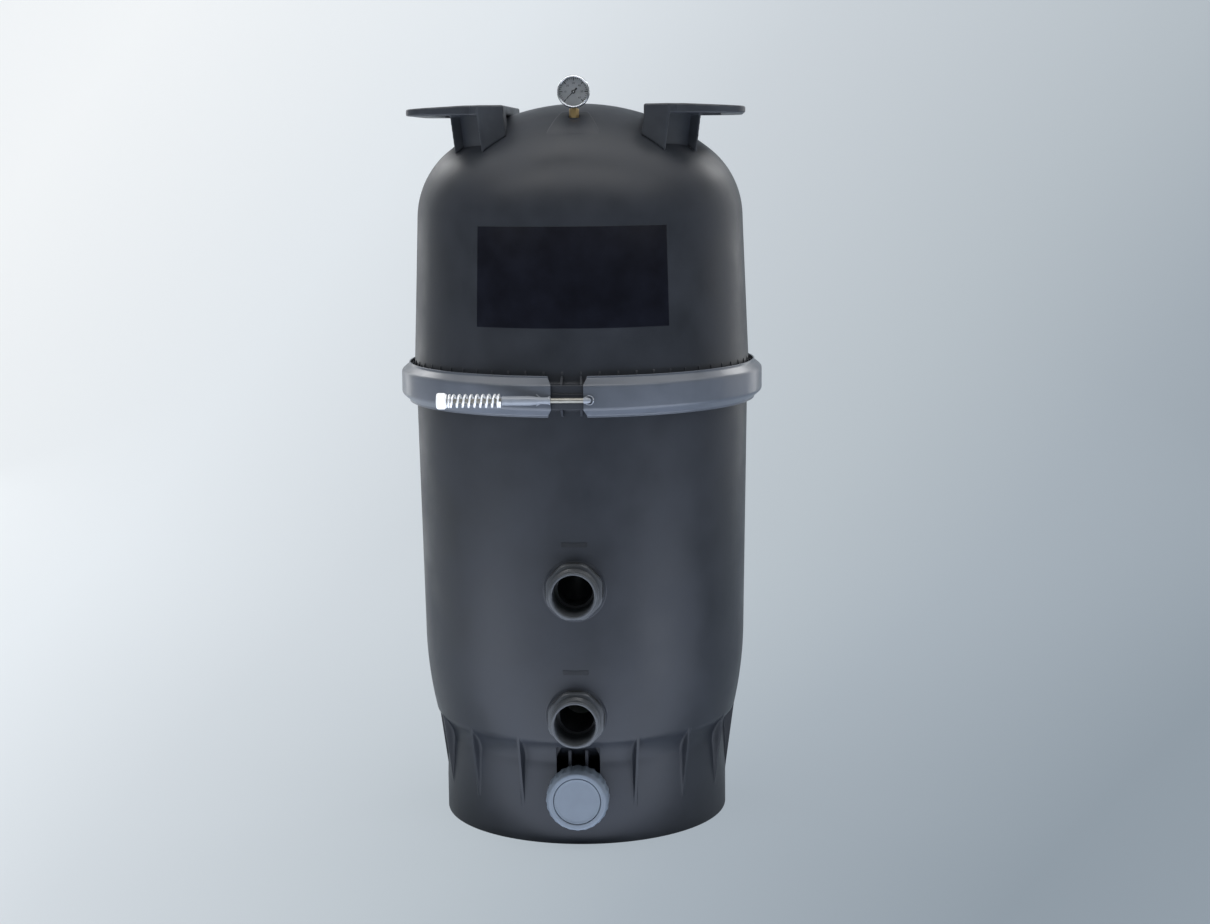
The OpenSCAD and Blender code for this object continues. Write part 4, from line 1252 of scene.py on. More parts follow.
@dataclass
class Lid:
    """The upper tank half with its flange and crown."""

    foot_r: float = 269.7
    shoulder_r: float = 259.5
    shoulder_z: float = 965.0
    crown_r: float = 333.0
    apex_z: float = 1144.8
    seam_z: float = 714.4
    flange_r: float = 285.0
    flange_z: float = 726.9
    wall: float = 7.0
    gauge_off: float = 128.0
    seat_z: float = 1120.5
    bore_r: float = 6.75
    slope: float = field(init=False)

    def __post_init__(self) -> None:
        """Works out how much the wall leans inwards."""
        self.slope = (self.foot_r - self.shoulder_r) / (self.shoulder_z - self.seam_z)

    def curve(self, gap: float) -> list[tuple]:
        """Shoulder and crown, drawn in by a gap.

        Args:
            gap: Distance inside the outer face.

        Returns:
            Rings from the shoulder to the top.
        """
        centre = self.apex_z - self.crown_r
        rise = self.shoulder_z - centre
        knuckle = (self.crown_r ** 2 - self.shoulder_r ** 2 - rise ** 2) \
            / (2 * (self.crown_r - self.shoulder_r))
        x = self.shoulder_r - knuckle
        angle = math.degrees(math.atan2(rise, x))
        draft = math.degrees(math.atan(self.slope))
        return arc(x, self.shoulder_z, knuckle - gap, draft, angle, 18) \
            + arc(0, centre, self.crown_r - gap, angle, 90, 22)[1:]

    def height(self, r: float) -> float:
        """Height of the crown's outer face at a radius.

        Args:
            r: The radius.

        Returns:
            The height.
        """
        return self.apex_z - self.crown_r + math.sqrt(self.crown_r ** 2 - r * r)

    def gauge_tools(self) -> list[bpy.types.Object]:
        """Makes the tools that cut the seat and the bore for the gauge's stem.

        Returns:
            Two closed objects.
        """
        place, high = Matrix.Translation((0, -self.gauge_off, 0)), self.seat_z + 12
        seat, bore = Shell(), Shell()
        seat.lathe([(0, self.seat_z), (8.5, self.seat_z), (9, high), (0, high)], 64, place)
        bore.lathe([(0, 1090), (self.bore_r, 1090), (self.bore_r, 1125), (0, 1125)], 48, place)
        return [seat.piece("seat", TANK), bore.piece("bore", TANK)]

    def body(self) -> bpy.types.Object:
        """Builds the moulded lid as one closed shell.

        Returns:
            The finished object.
        """
        outside, inside = ([(foot - self.slope * (z - self.seam_z), z) for z in heights]
                           for foot, heights in (
                               (self.foot_r, (732, 760, 800, 840, 880, 920, 950)),
                               (self.foot_r - self.wall, (950, 880, 800, 730))))
        r, low, top = self.flange_r, self.seam_z, self.flange_z
        rim = [(r - 0.6, low + 0.1), (r, low + 0.8), (r, top - 1), (r - 0.8, top - 0.1),
               (r - 12, top), (r - 14.4, top + 0.6), (r - 15.6, top + 2.5)]
        rows = rim + outside + self.curve(0) + self.curve(self.wall)[::-1] + inside
        shell = Shell()
        shell.lathe(rows + [(262.7, low + 1.6), (263.5, low + 0.1)], 288, closed=True)
        return cut(shell.piece("lid_body", TANK), *self.gauge_tools())

    def pad(self) -> bpy.types.Object:
        """Builds the sloping pad that spreads down the crown, with the gauge's seat.

        Returns:
            The finished object.
        """
        head, toe, narrow, wide, thick, across = 107.0, 172.0, 17.5, 39.5, 4.6, 16
        edge = [(0, 0), (1.1, -0.12), (2.2, -0.5), (3.2, -1.3), (4, -2.5), (4.7, -5),
                (5.4, -12)]
        out, fall = (list(side) for side in zip(*edge))
        stations = [(head - 1.2, -10), (head - 0.8, -3), (head - 0.3, -1.2), (head + 0.5, -0.4),
                    (head + 1.6, 0)] + [(y, 0) for y in np.linspace(head + 6, toe - 2, 16)]
        stations += [(toe, -0.2), (toe + 1.5, -0.9), (toe + 3, -2.4), (toe + 5, -7)]
        rows = []
        for y, drop in stations:
            share = min(1.0, max(0.0, (y - head) / (toe - head)))
            half = narrow + (wide - narrow) * share
            lift = thick * (1 - share ** 2) - 0.3 * share + drop
            x = [-half - d for d in out[::-1]] \
                + list(np.linspace(-half, half, across)[1:-1]) + [half + d for d in out]
            down = fall[::-1] + [0] * (across - 2) + fall
            low = self.height(y) - 14
            rows.append([(a, -y, self.height(math.hypot(a, y)) + lift + d)
                         for a, d in zip(x, down)]
                        + [(half + 4, -y, low), (0, -y, low), (-half - 4, -y, low)])
        shell = Shell()
        shell.grid(np.array(rows))
        return cut(shell.piece("gauge_pad", TANK), *self.gauge_tools())

    def boss(self) -> bpy.types.Object:
        """Builds the round boss that the gauge's stem seats on.

        Returns:
            The finished object.
        """
        r, z = self.bore_r, self.seat_z
        shell = Shell()
        shell.lathe([(r, z - 11), (r, z - 0.5), (r + 0.45, z), (9.2, z), (9.7, z - 0.25),
                     (9.9, z - 0.9), (10.2, z - 7), (10.2, z - 11)], 64,
                    Matrix.Translation((0, -self.gauge_off, 0)), closed=True)
        return shell.piece("gauge_boss", TANK)

    def panel(self, side: int) -> bpy.types.Object:
        """Builds the web that closes the pockets of a handle's posts a little way in.

        Args:
            side: 1 for the right handle, -1 for the left one.

        Returns:
            The finished object.
        """
        corner, way, inward = np.array([[145.0, -159.0], [0.679, 0.734], [-0.734, 0.679]])
        near, far, grip_z, plate_z, lean = 13, 19, 1131.0, 1127, math.tan(math.radians(7))
        shell = Shell()
        for front in (-1, 1):
            rows = []
            for along in np.linspace(2.5, 69.5, 9):
                ring = []
                for depth, top in ((near, False), (far, False), (far, True), (near, True)):
                    x, y = corner + way * along + inward * depth
                    z = grip_z if top else self.height(math.hypot(x - 6, y)) - 4
                    ring.append((side * (x + (z - plate_z) * lean), -front * y, z))
                rows.append(ring)
            shell.grid(np.array(rows))
        return shell.piece("grip_web_" + ("right" if side > 0 else "left"), GRIP_PAINTED_LIGHT)

    def plate(self) -> bpy.types.Object:
        """Builds the bare information plate that follows the lid's wall.

        Returns:
            The finished object.
        """
        low, high, half, wall_r, columns = 809.5, 960.0, math.radians(33.1), 262, 64
        rows = []
        for lift, inset in ((-0.6, 0), (0.35, 0), (0.6, 0.4)):
            turn = np.linspace(inset / wall_r - half, half - inset / wall_r, columns)
            a = np.concatenate([turn, turn[::-1]])
            z = np.repeat([low + inset, high - inset], columns)
            r = self.foot_r - self.slope * (z - self.seam_z) + lift
            rows.append(np.c_[r * np.sin(a), -r * np.cos(a), z])
        count = 2 * columns
        faces = [[i * count + j, i * count + (j + 1) % count,
                  (i + 1) * count + (j + 1) % count, (i + 1) * count + j]
                 for i in range(2) for j in range(count)]
        faces += [[base + j, base + j + 1, base + count - 2 - j, base + count - 1 - j]
                  for base in (0, 2 * count) for j in range(columns - 1)]
        shell = Shell()
        shell.add(np.concatenate(rows), faces)
        return shell.piece("information_plate", PLATE)

    def build(self, lower: LowerTank, repeat: Repeat) -> None:
        """Builds every piece of the lid.

        Args:
            lower: The lower tank, which draws the ribs of both halves.
            repeat: The tree that repeats pieces round an axis.
        """
        for piece in (self.body(), self.pad(), self.boss()):
            settle(piece, "lid", "tank", "upper_tank")
        ribs = repeat.run(lower.gusset(1).piece("upper_gussets", TANK), lower.gussets,
                          (0, 0, 360 / lower.gussets), (0, 0, 0), TANK,
                          (0, 0, 180 / lower.gussets))
        settle(ribs, "lid", "tank", "upper_tank")
        settle(self.plate(), "lid", "tank")
        for name, side in (("left", -1), ("right", 1)):
            node = f"{name}_handle"
            grip = softened(node, f"{name}_grip", GRIP_PAINTED_LIGHT, voxel=1.2, rounds=16)
            settle(grip, "lid", "tank", node)
            settle(self.panel(side), "lid", "tank", node)


# Clamp

@dataclass
class Band:
    """The rolled clamp band."""

    out_r: float = 290.0
    lip_r: float = 278.0
    sheet: float = 2.5
    half: float = 18.0
    cone: float = 10.0
    lip: float = 3.2
    mid: float = 708.4
    left: float = -30.5
    right: float = 18.4
    bolt_y: float = -291.5
    bolt_z: float = 704.8

    def section(self) -> list[tuple]:
        """Outline of the rolled sheet, with round bends.

        Returns:
            Radius and height over the clamp's middle of each point.
        """
        lip, out, flat, t, shift = self.lip_r, self.out_r, self.half, self.sheet, 1.3
        slant = flat + self.cone
        top = slant + self.lip
        outer = [(lip, top), (lip, slant), (out, flat), (out, -flat), (lip, -slant),
                 (lip, -top)]
        inner = [(lip - t, -top), (lip - t, shift - slant), (out - t, shift - flat),
                 (out - t, flat - shift), (lip - t, slant - shift), (lip - t, top)]
        radii = [0.9, 5, 8, 8, 5, 0.9, 0.9, 3, 5.5, 5.5, 3, 0.9]
        return rounded(outer + inner, radii, 4)

    def body(self) -> bpy.types.Object:
        """Sweeps the section round the tank, with chamfered ends.

        Returns:
            The finished object.
        """
        outline = np.array(self.section())
        r, up = outline[:, 0], outline[:, 1]
        trim = np.clip((np.abs(up) - self.half - 1.5) * 0.55, 0, 5)
        right = np.arcsin((self.right + trim) / r)
        left = np.arcsin((self.left - trim) / r)
        s = np.concatenate([[0, 0.0006, 0.0015], np.linspace(0.004, 0.996, 300),
                            [0.9985, 0.9994, 1]])
        angles = right + (2 * math.pi + left - right) * s[:, None]
        shell = Shell()
        shell.grid(np.stack([r * np.sin(angles), -r * np.cos(angles),
                             np.broadcast_to(self.mid + up, angles.shape)], -1))
        return shell.piece("band_body", BAND, 40)

    def along(self) -> Matrix:
        """Place of a turned piece on the bolt's axis, with +Z along +X.

        Returns:
            The place.
        """
        return Matrix.Translation((0, self.bolt_y, self.bolt_z)) \
            @ Matrix.Rotation(math.pi / 2, 4, "Y")

    def sleeves(self) -> bpy.types.Object:
        """Builds the tubes at both band ends that hold the bolt.

        Returns:
            The finished object.
        """
        shell = Shell()
        left = [(4.1, -103), (4.1, -31), (4.4, -30.6), (5.2, -30.6), (5.6, -31.2), (5.3, -35),
                (4.9, -39), (4.9, -43), (5.4, -48), (6.2, -53), (6.8, -58), (7, -63),
                (7, -102), (6.7, -102.8), (6.0, -103), (4.5, -103)]
        right = [(0, 18.6), (4.4, 18.6), (4.8, 19.2), (4.9, 21), (4.6, 25), (3.7, 28),
                 (2.2, 29.6), (0, 30)]
        shell.lathe(left, 40, self.along(), closed=True)
        shell.lathe(right, 40, self.along())
        return shell.piece("band_sleeves", BAND_PAINTED_HIGHLIGHT, 40)

    def spot(self, x: float, z: float, lift: float) -> np.ndarray:
        """A point on the band's face.

        Args:
            x: Sideways place.
            z: Height.
            lift: Distance in front of the face.

        Returns:
            Its three coordinates.
        """
        r = self.out_r + lift
        return np.array([x, -math.sqrt(r * r - x * x), z])

    def beads(self, sweep: Sweep) -> bpy.types.Object:
        """Builds the weld beads on the band's ends.

        Args:
            sweep: The tree that draws wires.

        Returns:
            The finished object.
        """
        z = self.bolt_z
        turn = np.linspace(0, 2 * np.pi, 40)
        ring_x, ring_r = 27, 6.6
        ring = np.array([self.spot(ring_x + ring_r * math.cos(a), z + ring_r * math.sin(a),
                                   0.7 + 4.2 * abs(math.cos(a)) ** 12) for a in turn])
        lines = [ring]
        for side in (-1, 1):
            path = [(-52 + 20.5 * t, side * (8.4 - 14.4 * t)) for t in np.linspace(0, 1, 24)]
            lines.append(np.array([self.spot(x, z + dz, 0.4 + 5.6 * math.exp(-(dz / 4.2) ** 2))
                                   for x, dz in path]))
        wires = [sweep.run(f"bead_{i}", line, 1.0, BAND_PAINTED_HIGHLIGHT, 8) for i, line in enumerate(lines)]
        return joined("band_welds", wires, BAND_PAINTED_HIGHLIGHT)

    def bolt(self) -> bpy.types.Object:
        """Builds the bolt with its thread.

        Returns:
            The finished object.
        """
        turns = thread_rows(3.35, 3.88, 1.75, -199.4, -98, 24, 5)
        shell = Shell()
        shell.lathe([(0, -200.8), (2.9, -200.8), (3.3, -200.2)] + turns
                    + [(3.88, -97), (3.88, 24), (3.3, 24.6), (0, 24.6)], 24, self.along())
        return shell.piece("bolt", BOLT, 40)

    def spring(self, sweep: Sweep) -> bpy.types.Object:
        """Builds the spring with closed ends.

        Args:
            sweep: The tree that draws wires.

        Returns:
            The finished object.
        """
        wire, outer, length, start, closed, opened = 3.1, 21, 81.3, -184.45, 1.25, 8
        pitch, turns = 1.06 * wire, opened + 2 * closed
        open_l = length - wire - 2 * closed * pitch
        t = np.linspace(0, turns, int(turns * 28))
        x = np.minimum(t, closed) * pitch \
            + np.clip((t - closed) / opened, 0, 1) * open_l \
            + np.maximum(t - (turns - closed), 0) * pitch
        a, mean = 2 * np.pi * t, (outer - wire) / 2
        path = np.c_[start + wire / 2 + x, self.bolt_y + mean * np.cos(a),
                     self.bolt_z - mean * np.sin(a)]
        return sweep.run("spring", path, wire / 2 - 0.02, PLATED)

    def nut(self) -> bpy.types.Object:
        """Builds the six-sided nut with bevelled corners.

        Returns:
            The finished object.
        """
        count = 96
        six = polygon_radius(6, 10.57, count, 30)
        rows = [(3.98, -199.2), (3.98, -186.9), (4.6, -186.3), (10.2, -186.25)]
        for cone, x in ((10.6, -186.3), (11.2, -186.9), (11.8, -187.8), (12.3, -189),
                        (12.3, -197.2), (11.7, -198.5), (11.1, -199.4), (10.4, -199.85)):
            rows.append((np.minimum(six, cone), x))
        rows += [(9.9, -199.85), (4.6, -199.85)]
        shell = Shell()
        shell.lathe(rows, count, self.along(), closed=True)
        return shell.piece("nut", NUT, 25)

    def washer(self) -> bpy.types.Object:
        """Builds the round washer.

        Returns:
            The finished object.
        """
        shell = Shell()
        shell.lathe([(4.1, -186.05), (4.1, -184.65), (10.1, -184.6), (10.45, -184.9),
                     (10.45, -185.8), (10.1, -186.1), (4.4, -186.1)], 64, self.along(),
                    closed=True)
        return shell.piece("washer", PLATED, 40)

    def build(self, sweep: Sweep) -> None:
        """Builds every piece of the clamp.

        Args:
            sweep: The tree that draws wires.
        """
        for piece in (self.body(), self.sleeves(), self.beads(sweep)):
            settle(piece, "base", "band", "clamp_band")
        settle(self.bolt(), "base", "bolt", "tension_bolt")
        settle(self.washer(), "washer", "nut", "clamp_washer")
        settle(self.nut(), "band_nut", "nut", "clamp_nut")
        spring = settle(self.spring(sweep), "base", "spring", "clamp_spring")
        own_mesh(spring)


# Ports, drain and gauge

@dataclass
class Port:
    """A threaded port with its eight-sided collar."""

    name: str
    z: float
    face: float
    back: float
    bore: float = 31.35
    root: float = 36.9
    crest: float = 38.2

    def build(self) -> None:
        """Builds the port."""
        count, pitch = 128, 2.2
        flat, corner, neck = 42.5, 44.6, 36.5
        eight = np.minimum(polygon_radius(8, flat, count), corner)
        collar, front, end = self.face + 14, self.face + 40, self.back - 13.5
        rows = [(self.bore, end + 0.7), (self.bore, front - 3), (self.bore + 0.2, front - 1.7),
                (self.bore + 0.8, front - 0.7), (self.bore + 1.8, front - 0.1), (34, front),
                (35.2, front - 0.35), (36.1, front - 1.2), (36.6, front - 2.4),
                (36.8, front - 4)]
        rows += thread_rows(self.root, self.crest, pitch, front - 5, collar + 2, count)
        rows += [(neck, collar + 1.6), (neck, collar + 0.3), (self.root, collar)]
        for less, cone, back in ((1.3, 42.2, 0), (0.6, 42.9, 0.25), (0.15, 43.6, 0.9),
                                 (0, corner, 2.2), (0, 46, 3.8), (0, 46, 11), (0.5, 46, 11.7),
                                 (1.3, 46, 12)):
            rows.append((np.minimum(eight - less, cone), collar - back))
        rows += [(neck, self.face + 2), (neck, end + 1), (35.7, end), (32, end)]
        shell = Shell()
        shell.lathe(rows, count, facing(0, self.z), closed=True)
        settle(shell.piece(f"{self.name}_fitting", FITTING, 28), "base", "port",
               f"{self.name}_port")


@dataclass
class Drain:
    """The drain's ring nut and blank disc."""

    z: float = 80.6
    back: float = 233.0
    front: float = 268.0
    body_r: float = 47.8
    ribs: int = 24

    def build(self) -> None:
        """Builds the ring nut and the disc."""
        count = self.ribs * 12
        wave = np.cos(np.arange(count) * 2 * np.pi * self.ribs / count)
        rib = 0.9 * np.clip(wave * 1.3 + 0.4, 0, 1)
        back, front, out = self.back, self.front, self.body_r
        ring = [(out - 0.9, 0, back), (out - 0.3, 0.3, back + 0.2), (out, 0.9, back + 0.9),
                (out, 1, back + 2), (out, 1, front - 10.5), (out - 0.1, 0.8, front - 8.8),
                (out - 0.5, 0.35, front - 7), (out - 1.2, 0.05, front - 5.4),
                (out - 2.2, 0, front - 3.4), (out - 3, 0, front - 1.8),
                (out - 3.7, 0, front - 0.7), (out - 4.6, 0, front - 0.1),
                (out - 5.6, 0, front), (38, 0, front), (37.3, 0, front - 0.2),
                (36.8, 0, front - 0.8), (36.65, 0, front - 1.6), (36.6, 0, front - 15.6),
                (41.05, 0, front - 15.7), (41.05, 0, back + 1.2), (41.9, 0, back)]
        nut, disc = Shell(), Shell()
        place = facing(0, self.z)
        nut.lathe([(r + share * rib, z) for r, share, z in ring], count, place, closed=True)
        settle(nut.piece("drain_ring", DRAIN, 35), "drain_ring", "drain", "drain_nut")
        flat, seat = front - 1.5, front - 22
        disc.lathe([(0, flat), (30, flat), (33.6, flat + 0.05), (34.5, flat + 0.4),
                    (35.2, flat + 0.4), (35.8, flat), (36.15, flat - 0.8), (36.2, seat + 6),
                    (40.2, seat + 6), (40.4, seat + 5.7), (40.4, seat + 0.3), (40, seat),
                    (35.3, seat), (35.3, seat + 3.2), (30.7, seat + 3.2), (30.7, seat),
                    (0, seat)], 96, place)
        settle(disc.piece("drain_blank", DRAIN, 35), "plug", "drain", "drain_plug")


@dataclass
class Gauge:
    """The pressure gauge on its brass stem."""

    z: float = 1160.0
    off: float = 128.0
    seat_z: float = 1120.5
    back: float = 117.0
    dial: float = 135.0
    zero: float = 225.0
    sweep: float = 270.0
    numbered: int = 6
    parts: int = 5

    def stem(self) -> bpy.types.Object:
        """Builds the stem: thread, six flats and neck.

        Returns:
            The finished object.
        """
        count = 72
        six = polygon_radius(6, 6.5, count, 30)
        z, top = self.seat_z, self.z - 25.4
        rows = [(2, z - 19.4), (5.4, z - 19.4), (5.9, z - 18.8)]
        rows += thread_rows(5.9, 6.55, 1.3, z - 18.6, z - 1.4, count)
        rows += [(5.7, z - 1), (5.7, z - 0.4), (6.4, z)]
        for cone, up in ((7.0, z + 0.3), (7.5, z + 1.2), (7.5, top - 1.2), (7.0, top - 0.3),
                         (6.4, top)):
            rows.append((np.minimum(six, cone), up))
        rows += [(4.3, top + 0.1), (4.3, top + 5), (2, top + 5)]
        shell = Shell()
        shell.lathe(rows, count, Matrix.Translation((0, -self.off, 0)), closed=True)
        return shell.piece("stem", BRASS, 28)

    def turned(self, name: str, finish: Finish, rows: Sequence[tuple],
               closed: bool = False) -> bpy.types.Object:
        """Builds a turned piece on the gauge's axis.

        Args:
            name: Its name.
            finish: Its finish.
            rows: Radius and distance in front of the tank's middle.
            closed: Whether the rings close on themselves.

        Returns:
            The finished object.
        """
        shell = Shell()
        shell.lathe(rows, 96, facing(0, self.z), closed)
        return shell.piece(name, finish, 40)

    def tick(self, inner: float, outer: float, width: float, name: str) -> bpy.types.Object:
        """Builds one tick of the scale, upright over the middle.

        Args:
            inner: Where it starts.
            outer: Where it ends.
            width: Its width.
            name: Its name.

        Returns:
            The finished object.
        """
        points, faces = prism([(-width / 2, inner), (width / 2, inner), (width / 2, outer),
                               (-width / 2, outer)], -0.02, 0.06)
        shell = Shell()
        shell.add(np.c_[points[:, 0], -points[:, 2], points[:, 1]], faces)
        return shell.piece(name, INK)

    def numbers(self) -> bpy.types.Object:
        """Writes the scale's numbers.

        Returns:
            The finished object.
        """
        size, thick, r, made = 4.4, 0.03, 12.8, []
        for i in range(self.numbered + 1):
            curve = bpy.data.curves.new(f"number_{i}", "FONT")
            curve.body = str(10 * i)
            curve.size, curve.extrude, curve.resolution_u = size * MM, thick * MM, 3
            curve.align_x, curve.align_y = "CENTER", "CENTER"
            word = shown(f"number_{i}", curve)
            mesh = bpy.data.meshes.new_from_object(
                word.evaluated_get(bpy.context.evaluated_depsgraph_get()))
            bpy.data.objects.remove(word)
            bpy.data.curves.remove(curve)
            turn = math.radians(self.zero - self.sweep / self.numbered * i)
            spot = Vector((r * math.cos(turn), -self.dial, self.z + r * math.sin(turn)))
            mesh.transform(Matrix.Translation(spot * MM) @ Matrix.Rotation(math.pi / 2, 4, "X"))
            made.append(dressed(mesh, f"number_{i}", INK))
        return joined("dial_numbers", made, INK)

    def pointer(self) -> bpy.types.Object:
        """Builds the pointer, at rest on the scale's zero.

        Returns:
            The finished object.
        """
        tail, tip = -7.5, 17.4
        flat = np.array(rounded([(tail, -1.5), (tail, 1.5), (0, 0.9), (tip, 0.22),
                                 (tip, -0.22), (0, -0.9)], [0.8, 0.8, 2, 0.1, 0.1, 2], 4))
        turn = Matrix.Rotation(math.radians(self.zero), 4, "Z")
        rows = [moved(np.c_[flat[:, 0], flat[:, 1] * share, np.full(len(flat), up)], turn)
                for share, up in ((0.9, 0), (1, 0.15), (1, 0.55), (0.86, 0.75))]
        place = facing(self.dial + 1.6, self.z)
        shell = Shell()
        shell.grid(moved(np.array(rows), place))
        shell.lathe([(0, 0), (2.9, 0), (3, 0.3), (3, 0.8), (2.7, 1.15), (0, 1.3)], 40, place)
        return shell.piece("pointer", INK)

    def build(self, repeat: Repeat) -> None:
        """Builds every piece of the gauge.

        Args:
            repeat: The tree that repeats pieces round an axis.
        """
        settle(self.stem(), "lid", "brass", "gauge_stem")
        b, d = self.back, self.dial
        case = [(0, b), (19.5, b), (21.8, b + 0.4), (23.3, b + 1.5), (23.9, b + 3.2),
                (24, b + 5), (24, b + 22), (23.5, b + 22.2), (22.9, b + 22), (22.8, b + 2),
                (21, b + 1.2), (0, b + 1.2)]
        bezel = [(24.1, d - 2), (24.7, d - 2), (25, d - 1.6), (25, d + 3.4), (24.9, d + 4.4),
                 (24.5, d + 5.3), (23.9, d + 6), (23.1, d + 6.45), (22.3, d + 6.3),
                 (21.7, d + 5.8), (21.4, d + 5.2), (21.5, d + 4.95), (24.1, d + 4.95)]
        face = [(0, d - 1), (22.4, d - 1), (22.4, d - 0.1), (22.3, d), (0, d)]
        pivot = [(0, d - 0.1), (1.1, d - 0.1), (1.1, d + 3), (0.8, d + 3.2), (0, d + 3.25)]
        lens = [(0, d + 3.3), (22.3, d + 3.3), (22.4, d + 3.5), (22.4, d + 4.6),
                (21.9, d + 4.8), (15, d + 5.1), (0, d + 5.3)]
        ring = [(21.1, d - 0.02), (21.1, d + 0.06), (21.9, d + 0.06), (21.9, d - 0.02)]
        for name, finish, rows, slot, node in (
                ("case", STEEL, case, "gauge", "gauge_case"),
                ("bezel", STEEL, bezel, "gauge", "gauge_bezel"),
                ("dial", DIAL, face, "dial", "gauge_dial"),
                ("pivot", STEEL, pivot, "gauge", "gauge_dial"),
                ("lens", GLASS, lens, "lens", "gauge_lens")):
            settle(self.turned(name, finish, rows, name == "bezel"), "lid", slot, node)
        middle, step = (0, -d, self.z), self.sweep / self.numbered
        for name, size, copies, turn in (
                ("ticks_large", (16.6, 21.2, 1.3), self.numbered + 1, step),
                ("ticks_small", (18.6, 21.2, 0.7), self.numbered * self.parts + 1,
                 step / self.parts)):
            ticks = repeat.run(self.tick(*size, name), copies, (0, turn, 0), middle, INK,
                               (0, 90 - self.zero, 0))
            settle(ticks, "lid", "dial", "gauge_dial")
        settle(self.turned("dial_ring", INK, ring, True), "lid", "dial", "gauge_dial")
        settle(self.numbers(), "lid", "dial", "gauge_dial")
        settle(self.pointer(), "pointer", "pointer", "gauge_pointer")


# Floor, lights and camera

